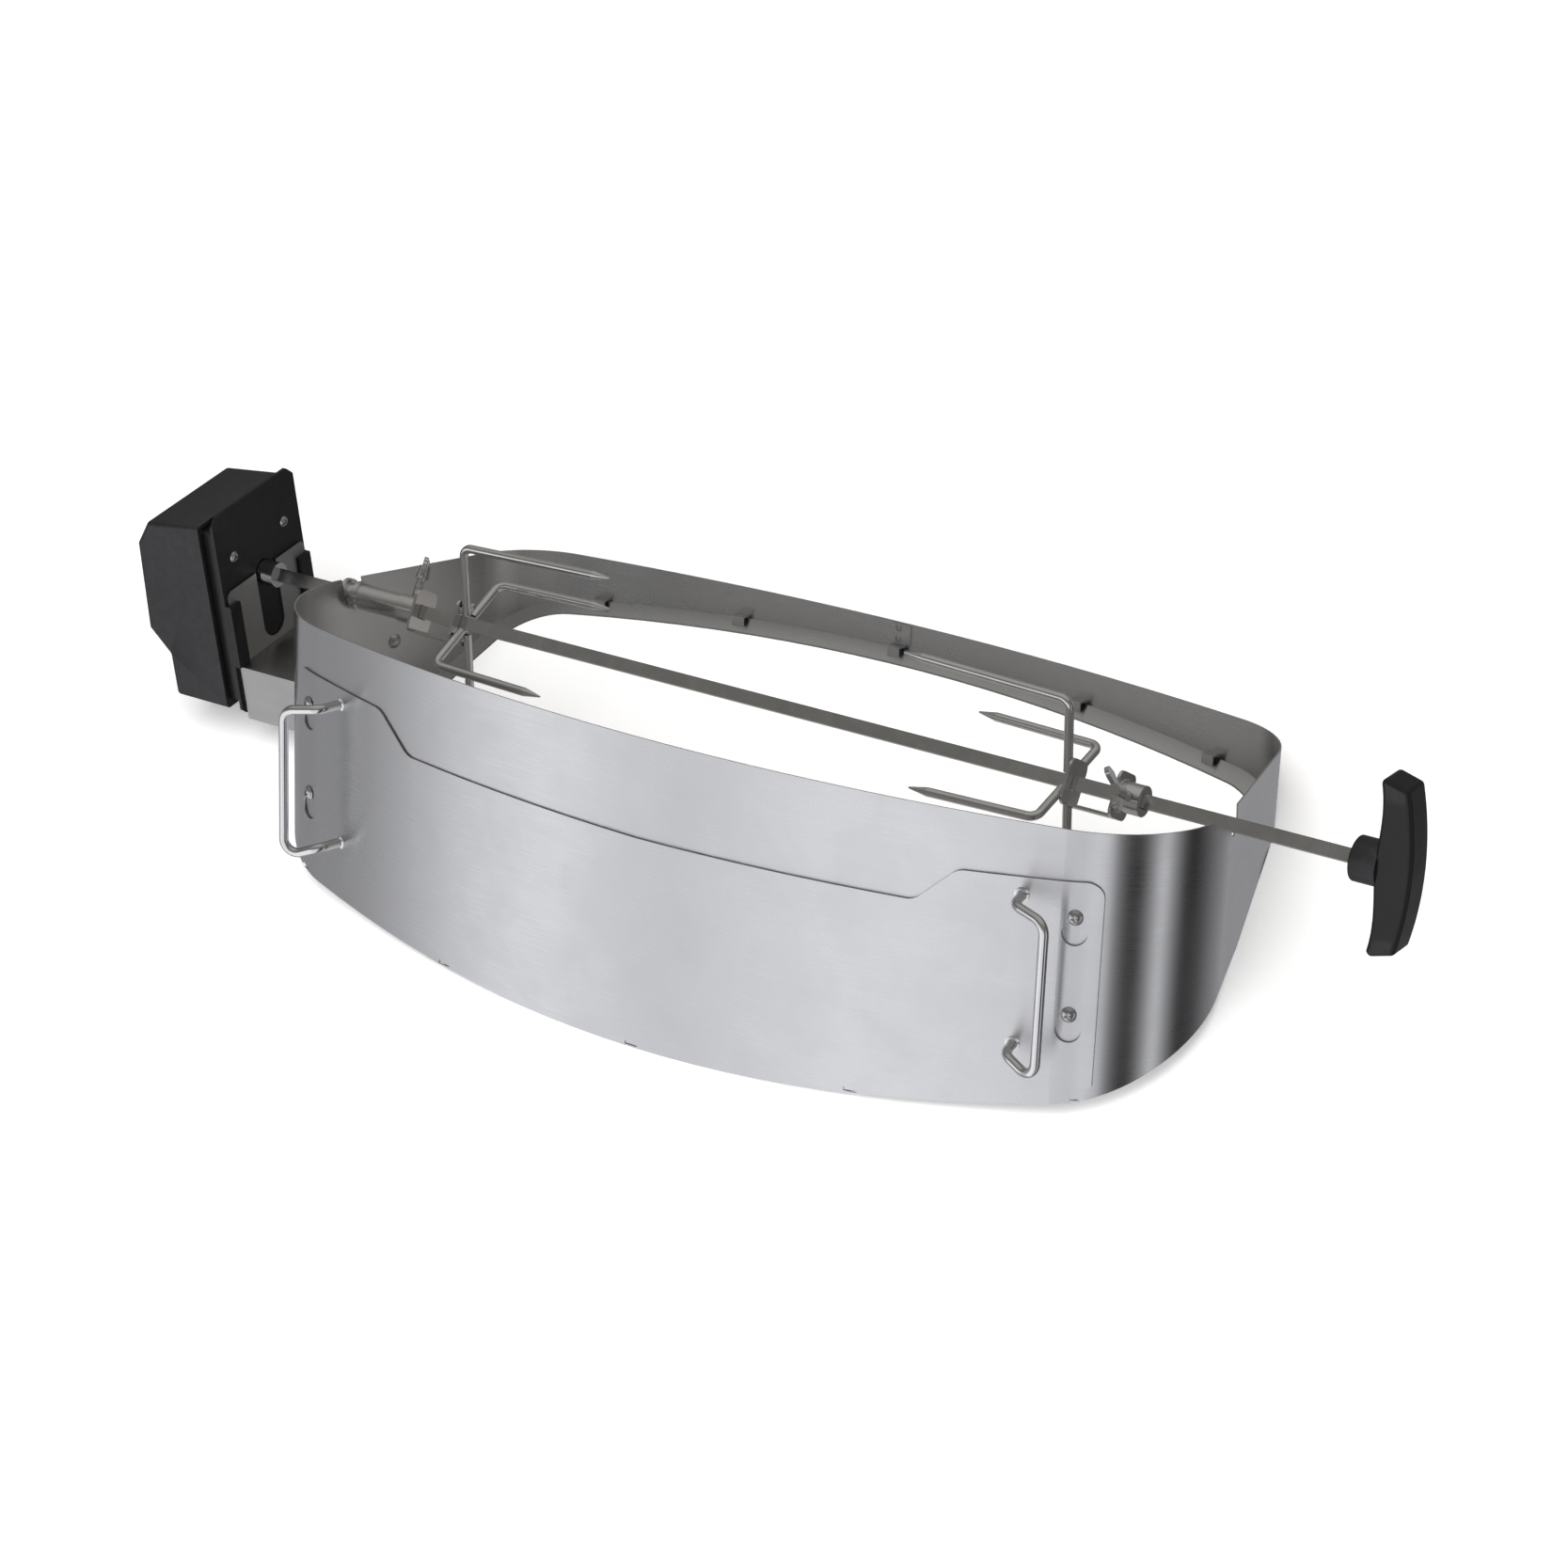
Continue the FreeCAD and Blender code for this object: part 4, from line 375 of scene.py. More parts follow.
def plated_metal(name, colour, roughness):
    """Bright plating with dull spots."""
    material, tree, skin, vector = start_material(name, 1.0)
    wear = use_group(tree, shared("wear", wear_group), vector, Smudge_Scale=60.0)
    shade = mix_colour(tree, wear.outputs["Smudge"], lighter(colour, 0.88), lighter(colour, 1.08))
    tree.links.new(shade, skin.inputs["Base Color"])
    gloss = spread(tree, wear.outputs["Smudge"], *NOISE_RANGE, roughness - 0.05, roughness + 0.08)
    tree.links.new(gloss, skin.inputs["Roughness"])
    raise_bump(tree, skin, wear.outputs["Smudge"], 0.08, 0.0003)
    return material


def moulded(name, colour, roughness, grain_scale=2600.0, depth=0.2, shine=0.5):
    """Moulded or enamelled surface: fine skin texture, rubbed edges, faint smudges."""
    material, tree, skin, vector = start_material(name, 0.0)
    wear = use_group(tree, shared("wear", wear_group), vector)
    shade = mix_colour(tree, wear.outputs["Edge"], colour, lighter(colour, 4.0))
    tree.links.new(shade, skin.inputs["Base Color"])
    gloss = spread(tree, wear.outputs["Smudge"], *NOISE_RANGE, roughness - 0.07, roughness + 0.08)
    tree.links.new(gloss, skin.inputs["Roughness"])
    skin.inputs["Specular IOR Level"].default_value = shine
    pebble = node(tree, "ShaderNodeTexVoronoi", Scale=grain_scale)
    tree.links.new(vector, pebble.inputs["Vector"])
    raise_bump(tree, skin, pebble.outputs["Distance"], depth, 0.0001)
    return material


# ---------------------------------------------------------------- studio
# brightness round the studio, level with the walls: (degrees from the front towards the T-grip, brightness)
ROUND_THE_STUDIO = (
    (-180, 0.38), (-110, 0.34), (-90, 0.34), (-72, 0.35), (-62, 0.33), (-48, 1.20), (-42, 1.22), (-32, 0.82),
    (-22, 1.07), (-12, 1.16), (-2, 1.02), (8, 0.86), (20, 0.84), (28, 0.96), (38, 0.90), (48, 0.25),
    (58, 0.03), (68, 0.01), (78, 0.28), (88, 0.95), (98, 0.40), (110, 0.03), (130, 0.05), (150, 0.22),
    (170, 0.32), (180, 0.38))
STUDIO_STRENGTH = 1.5       # the panels' brightness is divided by this on the colour ramp
PANELS_END = (-0.02, 0.3)   # heights on the unit sphere between which the panels give way to the dome
DOME_RISE = (0.5, 0.9)      # heights between which the dome brightens
PANEL_TINT = (1.0, 1.0, 1.04)
BACKDROP = 0.8              # brightness of what the camera sees past the floor
FLOOR_GLOW = 0.26
FLOOR_ROUGHNESS = 0.8
FLOOR_REACH = 6.0
DOME_LOW = (0.16, 0.154, 0.145)
DOME_HIGH = (0.42, 0.41, 0.39)
INSIDE_HALF = (0.29, 0.155)     # half lengths of the patch of floor that the inner walls mirror
INSIDE_Y = -0.155
INSIDE_SQUARENESS = 4.0     # 2 would make the patch an ellipse
INSIDE_MIDDLE = (0.42, 0.40, 0.385)
INSIDE_EDGE = (0.03, 0.029, 0.028)
LOOK_AT = Vector((0.0, -0.1412, 0.0296))    # where the camera and the lamps point
# each lamp: name, place, size, and its power against the key light
LAMPS = (("overhead", (0.0, -0.3, 2.6), 3.0, 1.0), ("front", (0.5, -2.2, 1.6), 2.0, 0.4))
FILM_WIDTH = 36.0           # mm


def studio_world():
    """Soft light panels standing round the ring, a dim warm ceiling, and a plain pale backdrop."""
    world = bpy.data.worlds.new("Studio Light")
    world.use_nodes = True
    tree = world.node_tree
    place = node(tree, "ShaderNodeTexCoord")
    turn = node(tree, "ShaderNodeMapping")
    turn.inputs["Rotation"].default_value = (SEAT_SLOPE, 0.0, 0.0)
    tree.links.new(place.outputs["Generated"], turn.inputs["Vector"])
    split = node(tree, "ShaderNodeSeparateXYZ")
    tree.links.new(turn.outputs[0], split.inputs[0])
    ahead = maths(tree, "MULTIPLY", split.outputs["Y"], -1.0)
    angle = maths(tree, "ARCTAN2", split.outputs["X"], ahead)
    share_round = spread(tree, angle, -math.pi, math.pi, 0.0, 1.0)
    panels = node(tree, "ShaderNodeValToRGB")
    stops = panels.color_ramp.elements
    for degrees, _ in ROUND_THE_STUDIO[1:-1]:
        stops.new(degrees / 360.0 + 0.5)
    for stop, (_, brightness) in zip(stops, ROUND_THE_STUDIO):
        stop.color = (*lighter(PANEL_TINT, brightness / STUDIO_STRENGTH), 1.0)
    tree.links.new(share_round, panels.inputs[0])
    ceiling = node(tree, "ShaderNodeMix", data_type="RGBA")
    tree.links.new(spread(tree, split.outputs["Z"], *PANELS_END, 0.0, 1.0), ceiling.inputs["Factor"])
    tree.links.new(panels.outputs[0], ceiling.inputs[FIRST_COLOUR])
    dome = mix_colour(tree, spread(tree, split.outputs["Z"], *DOME_RISE, 0.0, 1.0),
                      lighter(DOME_LOW, 1 / STUDIO_STRENGTH), lighter(DOME_HIGH, 1 / STUDIO_STRENGTH))
    tree.links.new(dome, ceiling.inputs[SECOND_COLOUR])
    panels_and_dome = tree.nodes["Background"]
    tree.links.new(ceiling.outputs[MIXED_COLOUR], panels_and_dome.inputs["Color"])
    panels_and_dome.inputs["Strength"].default_value = STUDIO_STRENGTH
    backdrop = node(tree, "ShaderNodeBackground", Color=(1.0, 1.0, 1.0, 1.0), Strength=BACKDROP)
    ray = node(tree, "ShaderNodeLightPath")
    mix = node(tree, "ShaderNodeMixShader")
    tree.links.new(ray.outputs["Is Camera Ray"], mix.inputs[0])
    tree.links.new(panels_and_dome.outputs[0], mix.inputs[1])
    tree.links.new(backdrop.outputs[0], mix.inputs[2])
    tree.links.new(mix.outputs[0], tree.nodes["World Output"].inputs["Surface"])
    return world


def floor_material(colour):
    """Pale floor that reflections pass through, so that bright metal mirrors only the light panels.

    The patch inside the ring is the exception: the inner walls mirror it, dim at its edges.
    """
    material, tree, skin, vector = start_material("Studio Floor", 0.0)
    skin.inputs["Base Color"].default_value = (*colour, 1.0)
    skin.inputs["Roughness"].default_value = FLOOR_ROUGHNESS
    skin.inputs["Specular IOR Level"].default_value = 0.0
    skin.inputs["Emission Color"].default_value = (1.0, 1.0, 1.0, 1.0)
    skin.inputs["Emission Strength"].default_value = FLOOR_GLOW
    split = node(tree, "ShaderNodeSeparateXYZ")
    tree.links.new(vector, split.inputs[0])
    from_middle = 0.0
    for axis, middle, half in (("X", 0.0, INSIDE_HALF[0]), ("Y", INSIDE_Y, INSIDE_HALF[1])):
        share_out = maths(tree, "DIVIDE", maths(tree, "SUBTRACT", split.outputs[axis], middle), half)
        from_middle = maths(tree, "ADD", from_middle, maths(tree, "POWER", share_out, INSIDE_SQUARENESS))
    patch = node(tree, "ShaderNodeEmission")
    tree.links.new(mix_colour(tree, from_middle, INSIDE_MIDDLE, INSIDE_EDGE), patch.inputs["Color"])
    clear = node(tree, "ShaderNodeBsdfTransparent")
    mirrored = node(tree, "ShaderNodeMixShader")
    tree.links.new(maths(tree, "GREATER_THAN", from_middle, 1.0), mirrored.inputs[0])
    tree.links.new(patch.outputs[0], mirrored.inputs[1])
    tree.links.new(clear.outputs[0], mirrored.inputs[2])
    ray = node(tree, "ShaderNodeLightPath")
    mix = node(tree, "ShaderNodeMixShader")
    tree.links.new(ray.outputs["Is Glossy Ray"], mix.inputs[0])
    tree.links.new(skin.outputs[0], mix.inputs[1])
    tree.links.new(mirrored.outputs[0], mix.inputs[2])
    tree.links.new(mix.outputs[0], tree.nodes["Material Output"].inputs["Surface"])
    return material


# ---------------------------------------------------------------- piece helpers
def finish_nodes(material, *names):
    """Gives the carried-over solids their finish."""
    for name in names:
        solid = frame["nodes"][name]
        solid.data.materials.clear()
        solid.data.materials.append(material)


def joint_line(name):
    """A point and direction of one of the frame's joints."""
    for joint in frame["joints"]:
        if joint["name"] == name:
            return Vector(joint["pos_m"]), Vector(joint["axis"]).normalized()
    raise RuntimeError("the frame has no joint named " + name)


def add_piece(name, mesh, material, body):
    """A finished mesh as an object that moves with a body."""
    mesh.name = name
    mesh.materials.clear()
    mesh.materials.append(material)
    piece = bpy.data.objects.new(name, mesh)
    bpy.context.scene.collection.objects.link(piece)
    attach(piece, body)
    return piece


def evaluated_mesh(source):
    """Plain mesh of an object with its modifiers, and the object taken away again."""
    bpy.context.view_layer.update()
    plain = source.evaluated_get(bpy.context.evaluated_depsgraph_get())
    mesh = bpy.data.meshes.new_from_object(plain)
    start = source.data
    bpy.data.objects.remove(source)
    bpy.data.meshes.remove(start)
    return mesh


def from_wall(x, y, z):
    """Place in the frame of the upright walls, in millimetres, as a place in the resting frame."""
    place = Vector((x, y - WALL_ORIGIN_Y, z - WALL_ORIGIN_Z)) * MM
    return Matrix.Rotation(-SEAT_SLOPE, 3, "X") @ place


def direction_from_wall(x, y, z):
    return Matrix.Rotation(-SEAT_SLOPE, 3, "X") @ Vector((x, y, z))


# ---------------------------------------------------------------- recessed screw heads
def cross_cutter(apex, direction, length, width, depth):
    """Cross-shaped cutter that narrows towards its foot, sunk into a head from its apex."""
    half, arm = width / 2, length / 2
    outline = [(arm, -half), (arm, half), (half, half), (half, arm), (-half, arm), (-half, half),
               (-arm, half), (-arm, -half), (-half, -half), (-half, -arm), (half, -arm), (half, -half)]
    turn = direction.to_track_quat("Z", "Y").to_matrix()
    shape = bmesh.new()
    rings = []
    for height, scale in ((-depth, RECESS_TAPER), (depth, 1.0 / RECESS_TAPER)):
        rings.append([shape.verts.new(apex + turn @ Vector((x * scale, y * scale, height)))
                      for x, y in outline])
    shape.faces.new(list(reversed(rings[0])))
    shape.faces.new(rings[1])
    count = len(outline)
    for index in range(count):
        after = (index + 1) % count
        shape.faces.new((rings[0][index], rings[0][after], rings[1][after], rings[1][index]))
    return shape


def volume(mesh):
    shape = bmesh.new()
    shape.from_mesh(mesh)
    amount = shape.calc_volume()
    shape.free()
    return amount


def recess_heads(node_name, places, cross, depth, material, body):
    """Copy of a node's screws with a cross cut into each head; stands for the node."""
    length_of_arm, width_of_arm = cross
    solid = frame["nodes"][node_name].data.copy()
    shape = bmesh.new()
    shape.from_mesh(solid)
    bmesh.ops.remove_doubles(shape, verts=shape.verts, dist=MERGE)
    shape.to_mesh(solid)
    shape.free()
    before = volume(solid)
    cutters = bpy.data.meshes.new(node_name + "_cutters")
    whole = bmesh.new()
    for apex, direction in places:
        single = cross_cutter(apex, direction, length_of_arm, width_of_arm, depth)
        part = bpy.data.meshes.new("cutter")
        single.to_mesh(part)
        single.free()
        whole.from_mesh(part)
        bpy.data.meshes.remove(part)
    whole.to_mesh(cutters)
    whole.free()
    source = bpy.data.objects.new(node_name + "_source", solid)
    tool = bpy.data.objects.new(node_name + "_tool", cutters)
    for each in (source, tool):
        bpy.context.scene.collection.objects.link(each)
    cut = source.modifiers.new("Recess", "BOOLEAN")
    cut.operation = "DIFFERENCE"
    cut.solver = "EXACT"
    cut.object = tool
    mesh = evaluated_mesh(source)
    bpy.data.objects.remove(tool)
    bpy.data.meshes.remove(cutters)
    if before - volume(mesh) < LEAST_CUT * len(places) * length_of_arm * width_of_arm * depth:
        raise RuntimeError(node_name + ": the recesses couldn't be cut")
    piece = add_piece(node_name + "_recessed", mesh, material, body)
    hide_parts(node_name)


def stud_heads():
    """Apex and outward direction of each door stud, on the rounded front corners."""
    places = []
    for side in (-1, 1):
        angle = math.asin((STUD_X - CORNER_X) / CORNER_R)
        normal = Vector((side * math.sin(angle), -math.cos(angle), 0.0))
        foot = Vector((side * CORNER_X, CORNER_Y, 0.0)) + normal * (CORNER_R + STUD_APEX)
        for z in STUD_Z:
            places.append((from_wall(foot.x, foot.y, z), direction_from_wall(*normal)))
    return places


def plate_screw_heads():
    """Apex and direction of each screw of the motor's back plate, in the tilted frame of the motor."""
    tilt = Matrix.Rotation(MOTOR_TILT, 3, "X")
    places = []
    for v in (-PLATE_SCREW_V, PLATE_SCREW_V):
        for w in PLATE_SCREW_W:
            place = tilt @ Vector((PLATE_SCREW_APEX_X, v, w)) + Vector((0.0, SPIT_Y, SPIT_Z))
            places.append((from_wall(*place), Vector((1.0, 0.0, 0.0))))
    return places


# ---------------------------------------------------------------- threads and weld beads
def new_tree(name, inputs):
    """Geometry node tree with named inputs, ending in Realize Instances and Set Material."""
    tree = bpy.data.node_groups.new(name, "GeometryNodeTree")
    for label, kind, value in inputs + (("Material", "NodeSocketMaterial", None),):
        socket = tree.interface.new_socket(label, in_out="INPUT", socket_type=kind)
        if value is not None:
            socket.default_value = value
    tree.interface.new_socket("Geometry", in_out="OUTPUT", socket_type="NodeSocketGeometry")
    given = tree.nodes.new("NodeGroupInput")
    realize = tree.nodes.new("GeometryNodeRealizeInstances")
    paint = tree.nodes.new("GeometryNodeSetMaterial")
    out = tree.nodes.new("NodeGroupOutput")
    tree.links.new(realize.outputs[0], paint.inputs["Geometry"])
    tree.links.new(given.outputs["Material"], paint.inputs["Material"])
    tree.links.new(paint.outputs[0], out.inputs[0])
    return tree, given, realize.inputs["Geometry"]


def run_tree(name, tree, mesh, values):
    """Runs a geometry node tree on a mesh with its inputs set by name, and returns the plain mesh."""
    source = bpy.data.objects.new(name + "_source", mesh)
    bpy.context.scene.collection.objects.link(source)
    modifier = source.modifiers.new(name, "NODES")
    modifier.node_group = tree
    for item in tree.interface.items_tree:
        if item.item_type == "SOCKET" and item.in_out == "INPUT" and item.name in values:
            modifier[item.identifier] = values[item.name]
    result = evaluated_mesh(source)
    if not result.polygons:
        raise RuntimeError(name + ": the tree made no faces")
    return result


def thread_tree():
    """Raised ridge that winds round the Z axis."""
    tree, given, end = new_tree("Thread Ridge", (
        ("Radius", "NodeSocketFloat", SCREW_R),
        ("Length", "NodeSocketFloat", THREAD_SPAN[1] - THREAD_SPAN[0]),
        ("Pitch", "NodeSocketFloat", THREAD_PITCH), ("Ridge", "NodeSocketFloat", THREAD_RIDGE)))
    links = tree.links
    spiral = tree.nodes.new("GeometryNodeCurveSpiral")
    spiral.inputs["Resolution"].default_value = THREAD_STEPS
    turns = maths(tree, "DIVIDE", given.outputs["Length"], given.outputs["Pitch"])
    links.new(turns, spiral.inputs["Rotations"])
    for label in ("Start Radius", "End Radius"):
        links.new(given.outputs["Radius"], spiral.inputs[label])
    links.new(given.outputs["Length"], spiral.inputs["Height"])
    profile = tree.nodes.new("GeometryNodeCurvePrimitiveCircle")
    profile.inputs["Resolution"].default_value = THREAD_SIDES
    links.new(given.outputs["Ridge"], profile.inputs["Radius"])
    sweep = tree.nodes.new("GeometryNodeCurveToMesh")
    links.new(spiral.outputs[0], sweep.inputs["Curve"])
    links.new(profile.outputs[0], sweep.inputs["Profile Curve"])
    sweep.inputs["Fill Caps"].default_value = True
    links.new(sweep.outputs[0], end)
    return tree


def bead_tree():
    """Rippled bead along each run of edges, rounded off at the ends of an open run."""
    tree, given, end = new_tree("Weld Bead", (
        ("Path", "NodeSocketGeometry", None), ("Size", "NodeSocketFloat", BEAD_SIZE),
        ("Seed", "NodeSocketInt", BEAD_SEED)))
    links = tree.links
    curve = tree.nodes.new("GeometryNodeMeshToCurve")
    links.new(given.outputs["Path"], curve.inputs["Mesh"])
    even = tree.nodes.new("GeometryNodeResampleCurve")
    even.mode = "LENGTH"
    even.inputs["Length"].default_value = BEAD_STEP
    links.new(curve.outputs[0], even.inputs["Curve"])
    along = tree.nodes.new("GeometryNodeSplineParameter")
    ring = tree.nodes.new("GeometryNodeInputSplineCyclic")
    to_end = maths(tree, "SUBTRACT", 1.0, along.outputs["Factor"])
    from_end = maths(tree, "MINIMUM", along.outputs["Factor"], to_end)
    rise = maths(tree, "ADD", maths(tree, "MULTIPLY", from_end, BEAD_END_RISE), BEAD_END_SIZE)
    taper = maths(tree, "MINIMUM", maths(tree, "MAXIMUM", rise, ring.outputs[0]), 1.0)
    scales = maths(tree, "MULTIPLY", along.outputs["Length"], BEAD_RIPPLE_RATE)
    ripple = maths(tree, "MULTIPLY", maths(tree, "SINE", scales, 0.0), BEAD_RIPPLE)
    chance = tree.nodes.new("FunctionNodeRandomValue")
    chance.data_type = "FLOAT"
    chance.inputs[2].default_value = -BEAD_RIPPLE
    chance.inputs[3].default_value = BEAD_RIPPLE
    links.new(given.outputs["Seed"], chance.inputs["Seed"])
    uneven = maths(tree, "ADD", maths(tree, "ADD", ripple, chance.outputs[1]), 1.0)
    profile = tree.nodes.new("GeometryNodeCurvePrimitiveCircle")
    profile.inputs["Resolution"].default_value = BEAD_SIDES
    links.new(given.outputs["Size"], profile.inputs["Radius"])
    sweep = tree.nodes.new("GeometryNodeCurveToMesh")
    links.new(even.outputs[0], sweep.inputs["Curve"])
    links.new(profile.outputs[0], sweep.inputs["Profile Curve"])
    links.new(maths(tree, "MULTIPLY", taper, uneven), sweep.inputs["Scale"])
    sweep.inputs["Fill Caps"].default_value = True
    links.new(sweep.outputs[0], end)
    return tree


def weld_path(side, tine_x, angles):
    """Edges along both sides of each prong's foot, and round the foot of the collar."""
    spit = joint_line("spit_turn")[0]
    points, edges = [], []
    face_x = tine_x * MM - side * BEAD_OFF_FACE
    for angle in angles:
        turned = math.radians(angle) - SEAT_SLOPE
        out = Vector((0.0, math.cos(turned), math.sin(turned)))
        across = Vector((0.0, -math.sin(turned), math.cos(turned)))
        for hand in (-1, 1):
            for distance in WELD_SPAN:
                foot = out * distance + across * hand * WELD_ASIDE
                points.append(spit + Vector((face_x, 0.0, 0.0)) + foot)
            edges.append((len(points) - 2, len(points) - 1))
    first = len(points)
    ring_x = (tine_x + side * COLLAR_FROM_TINE) * MM
    for step in range(COLLAR_STEPS):
        turned = 2 * math.pi * step / COLLAR_STEPS
        around = Vector((0.0, math.cos(turned), math.sin(turned))) * COLLAR_WELD_R
        points.append(spit + Vector((ring_x, 0.0, 0.0)) + around)
        edges.append((first + step, first + (step + 1) % COLLAR_STEPS))
    mesh = bpy.data.meshes.new("weld_path")
    mesh.from_pydata(points, edges, [])
    return mesh


# ---------------------------------------------------------------- operators
class ROASTER_OT_ring(bpy.types.Operator):
    """Brushed steel ring, flange and door"""
    bl_idname = "roaster.ring"
    bl_label = "Ring and Door"

    def execute(self, context):
        steel = context.scene.roaster_steel
        sheet = brushed_metal("Brushed Ring Sheet", steel.ring_colour, steel.ring_roughness)
        finish_nodes(sheet, "shroud_wall", "base_flange", "locating_clips", "door_panel")
        return {"FINISHED"}


class ROASTER_OT_bracket(bpy.types.Operator):
    """Bent bracket on the left wall"""
    bl_idname = "roaster.bracket"
    bl_label = "Motor Bracket"

    def execute(self, context):
        steel = context.scene.roaster_steel
        sheet = brushed_metal("Bracket Sheet", steel.bracket_colour, BRACKET_ROUGHNESS, fineness=500.0)
        finish_nodes(sheet, "motor_bracket")
        return {"FINISHED"}


class ROASTER_OT_fasteners(bpy.types.Operator):
    """Studs, rivets, bolts and nuts"""
    bl_idname = "roaster.fasteners"
    bl_label = "Fasteners"

    def execute(self, context):
        steel = context.scene.roaster_steel
        metal = plated_metal("Plain Fastener Steel", steel.fastener_colour, FASTENER_ROUGHNESS)
        finish_nodes(metal, "seam_rivets", "side_rivet", "door_stud_nuts", "bracket_bolts", "bracket_nuts",
                     "handle_bolt")
        depth = context.scene.roaster_detail.recess_depth
        recess_heads("door_studs", stud_heads(), STUD_CROSS, depth, metal, "shroud")
        recess_heads("back_plate_screws", plate_screw_heads(), PLATE_SCREW_CROSS,
                     depth * SMALL_RECESS, metal, "motor")
        return {"FINISHED"}


class ROASTER_OT_bright(bpy.types.Operator):
    """Plated spit, forks, wing screws and door handles"""
    bl_idname = "roaster.bright"
    bl_label = "Spit, Forks and Handles"

    def execute(self, context):
        steel = context.scene.roaster_steel
        metal = plated_metal("Bright Plating", steel.wire_colour, steel.wire_roughness)
        names = ["door_handle_left", "door_handle_right", "spit_rod", "spit_bushing", "output_socket"]
        for hand in ("left", "right"):
            names += [hand + piece for piece in ("_fork_hub", "_fork_collar", "_fork_prongs", "_wing_screw")]
        finish_nodes(metal, *names)
        detail = context.scene.roaster_detail
        self.add_threads(metal, detail)
        self.add_welds(metal, detail)
        return {"FINISHED"}

    def add_threads(self, metal, detail):
        tree = thread_tree()
        low, high = THREAD_SPAN
        for hand, *_ in FORKS:
            values = {"Radius": SCREW_R, "Length": high - low, "Pitch": detail.thread_pitch,
                      "Ridge": detail.thread_ridge, "Material": metal}
            mesh = run_tree("thread", tree, bpy.data.meshes.new("thread_source"), values)
            foot, axis = joint_line("wing_%s_turn" % hand)
            place = Matrix.Translation(foot + axis * low) @ axis.to_track_quat("Z", "Y").to_matrix().to_4x4()
            mesh.transform(place)
            add_piece(hand + "_screw_thread", mesh, metal, "wing_" + hand)

    def add_welds(self, metal, detail):
        tree = bead_tree()
        for hand, side, tine_x, angles in FORKS:
            values = {"Size": detail.bead_size, "Seed": detail.seed, "Material": metal}
            mesh = run_tree("weld", tree, weld_path(side, tine_x, angles), values)
            add_piece(hand + "_fork_welds", mesh, metal, "fork_" + hand)


class ROASTER_OT_motor_case(bpy.types.Operator):
    """Black case, back plate, hatch and grip"""
    bl_idname = "roaster.motor_case"
    bl_label = "Motor Case and Grip"

    def execute(self, context):
        black = context.scene.roaster_black
        case = moulded("Moulded Black", black.case_colour, black.case_roughness, shine=CASE_SHINE)
        finish_nodes(case, "motor_housing", "motor_cover", "battery_hatch", "switch_frame",
                     "handle_ferrule", "handle_grip")
        enamel = moulded("Satin Black Enamel", black.plate_colour, ENAMEL_ROUGHNESS, grain_scale=900.0,
                         depth=0.1, shine=ENAMEL_SHINE)
        finish_nodes(enamel, "motor_back_plate")
        gloss = moulded("Gloss Black", black.switch_colour, SWITCH_ROUGHNESS, grain_scale=3000.0,
                        depth=0.03)
        finish_nodes(gloss, "switch_rocker")
        return {"FINISHED"}


class ROASTER_OT_drive(bpy.types.Operator):
    """Gears, bearing, small motor and cells inside the case"""
    bl_idname = "roaster.drive"
    bl_label = "Drive and Cells"

    def execute(self, context):
        steel, black = context.scene.roaster_steel, context.scene.roaster_black
        nylon = moulded("Natural Nylon", black.gear_colour, NYLON_ROUGHNESS, grain_scale=1500.0,
                        depth=0.1)
        finish_nodes(nylon, "idler_gear", "output_gear", "drive_pinion")
        bronze = plated_metal("Sintered Bronze", steel.bronze_colour, BRONZE_ROUGHNESS)
        finish_nodes(bronze, "socket_bearing")
        zinc = plated_metal("Zinc Plate", steel.zinc_colour, ZINC_ROUGHNESS)
        finish_nodes(zinc, "gear_plate", "idler_arbor", "motor_shaft", "drive_motor", "battery_contacts")
        sleeve = moulded("Cell Sleeve", black.sleeve_colour, SLEEVE_ROUGHNESS, grain_scale=1200.0,
                         depth=0.02)
        finish_nodes(sleeve, "battery_cell_lower", "battery_cell_upper")
        return {"FINISHED"}


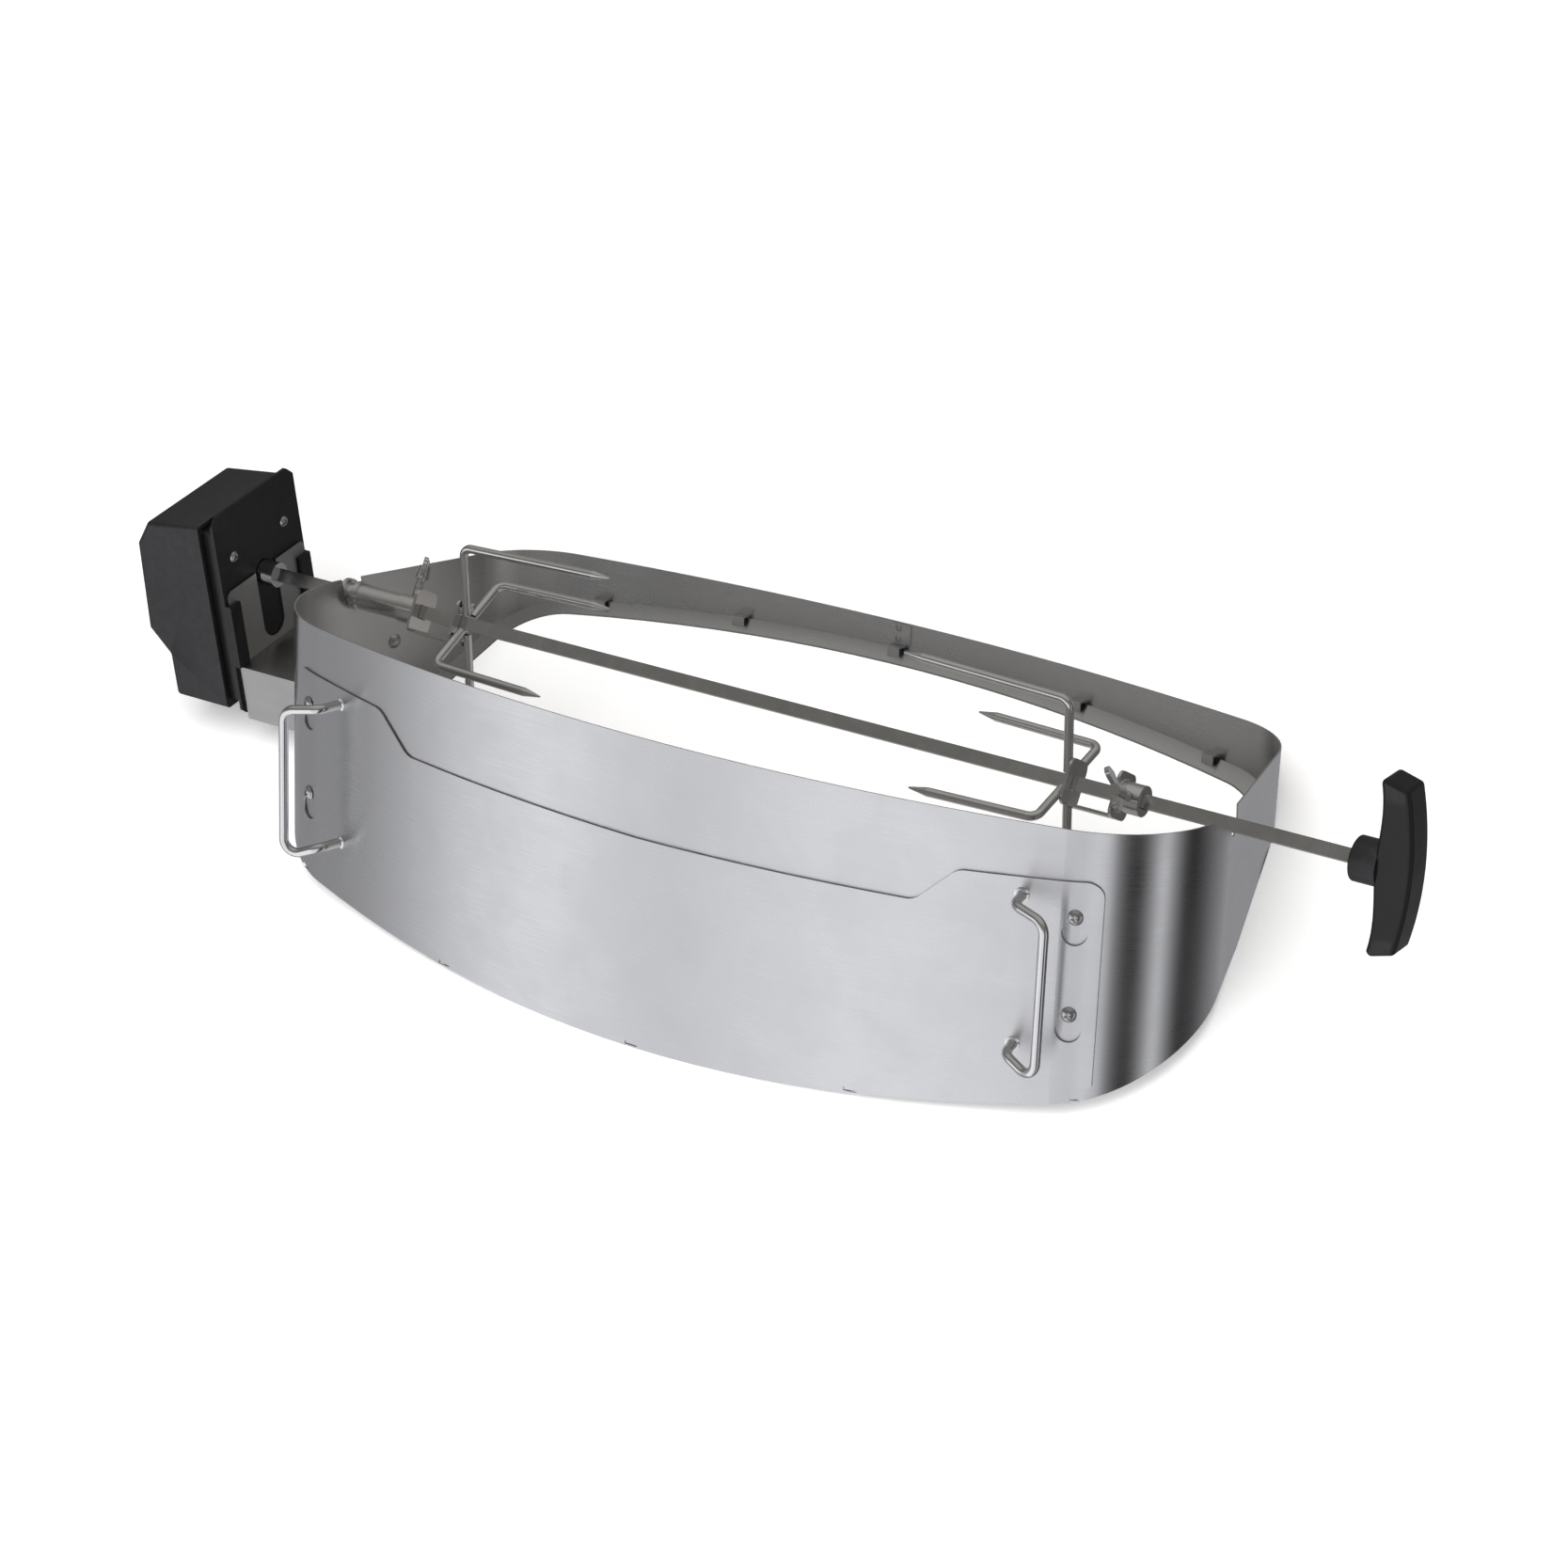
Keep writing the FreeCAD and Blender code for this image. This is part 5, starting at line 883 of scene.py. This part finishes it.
class ROASTER_OT_stage(bpy.types.Operator):
    """Pale floor, soft light and the camera"""
    bl_idname = "roaster.stage"
    bl_label = "Studio"

    def execute(self, context):
        studio = context.scene.roaster_studio
        low = CAD_BOX[0][2]
        mesh = bpy.data.meshes.new("floor")
        corners = [(x * FLOOR_REACH, y * FLOOR_REACH, low) for x, y in ((-1, -1), (1, -1), (1, 1), (-1, 1))]
        mesh.from_pydata(corners, [], [(0, 1, 2, 3)])
        floor = bpy.data.objects.new("floor", mesh)
        context.scene.collection.objects.link(floor)
        mesh.materials.append(floor_material(studio.floor_colour))
        context.scene.world = studio_world()
        context.scene.view_settings.view_transform = "Standard"
        for name, place, size, power in LAMPS:
            lamp = bpy.data.lights.new(name, "AREA")
            lamp.size = size
            lamp.energy = studio.key_power * power
            holder = bpy.data.objects.new(name, lamp)
            holder.location = place
            aim = LOOK_AT - Vector(place)
            holder.rotation_euler = aim.to_track_quat("-Z", "Y").to_euler()
            holder.visible_glossy = False
            context.scene.collection.objects.link(holder)
        self.place_camera(context, studio)
        return {"FINISHED"}

    def place_camera(self, context, studio):
        """The angles are those of the upright walls, so the axes are turned with the lean."""
        side, rise = studio.azimuth, studio.elevation
        back = Vector((math.sin(side) * math.cos(rise), -math.cos(side) * math.cos(rise), math.sin(rise)))
        right = Vector((math.cos(side), math.sin(side), 0.0))
        up = Vector((-math.sin(side) * math.sin(rise), math.cos(side) * math.sin(rise), math.cos(rise)))
        across = right * math.cos(studio.roll) + up * math.sin(studio.roll)
        above = up * math.cos(studio.roll) - right * math.sin(studio.roll)
        lean = Matrix.Rotation(-SEAT_SLOPE, 3, "X")
        axes = Matrix((lean @ across, lean @ above, lean @ back)).transposed()
        camera = bpy.data.cameras.new("camera")
        camera.sensor_width = FILM_WIDTH
        camera.lens = studio.lens
        holder = bpy.data.objects.new("camera", camera)
        place = LOOK_AT + (lean @ back) * studio.distance
        holder.matrix_world = Matrix.Translation(place) @ axes.to_4x4()
        context.scene.collection.objects.link(holder)
        context.scene.camera = holder


PIECES = (ROASTER_OT_ring, ROASTER_OT_bracket, ROASTER_OT_fasteners, ROASTER_OT_bright,
          ROASTER_OT_motor_case, ROASTER_OT_drive, ROASTER_OT_stage)


class ROASTER_PT_panel(bpy.types.Panel):
    """Lists the pieces and the stage"""
    bl_idname = "ROASTER_PT_panel"
    bl_label = "Roaster"
    bl_space_type = "VIEW_3D"
    bl_region_type = "UI"
    bl_category = "Roaster"

    def draw(self, context):
        for piece in PIECES:
            self.layout.operator(piece.bl_idname)


SETTINGS = (("roaster_steel", RoasterSteel), ("roaster_black", RoasterBlack),
            ("roaster_detail", RoasterDetail), ("roaster_studio", RoasterStudio))


def register():
    for name, group in SETTINGS:
        bpy.utils.register_class(group)
        setattr(bpy.types.Scene, name, bpy.props.PointerProperty(type=group))
    for kind in PIECES + (ROASTER_PT_panel,):
        bpy.utils.register_class(kind)


def unregister():
    for kind in reversed(PIECES + (ROASTER_PT_panel,)):
        bpy.utils.unregister_class(kind)
    for name, group in reversed(SETTINGS):
        delattr(bpy.types.Scene, name)
        bpy.utils.unregister_class(group)


def main():
    register()
    for piece in PIECES:
        group, name = piece.bl_idname.split(".")
        getattr(getattr(bpy.ops, group), name)()


if __name__ == "__main__":
    main()
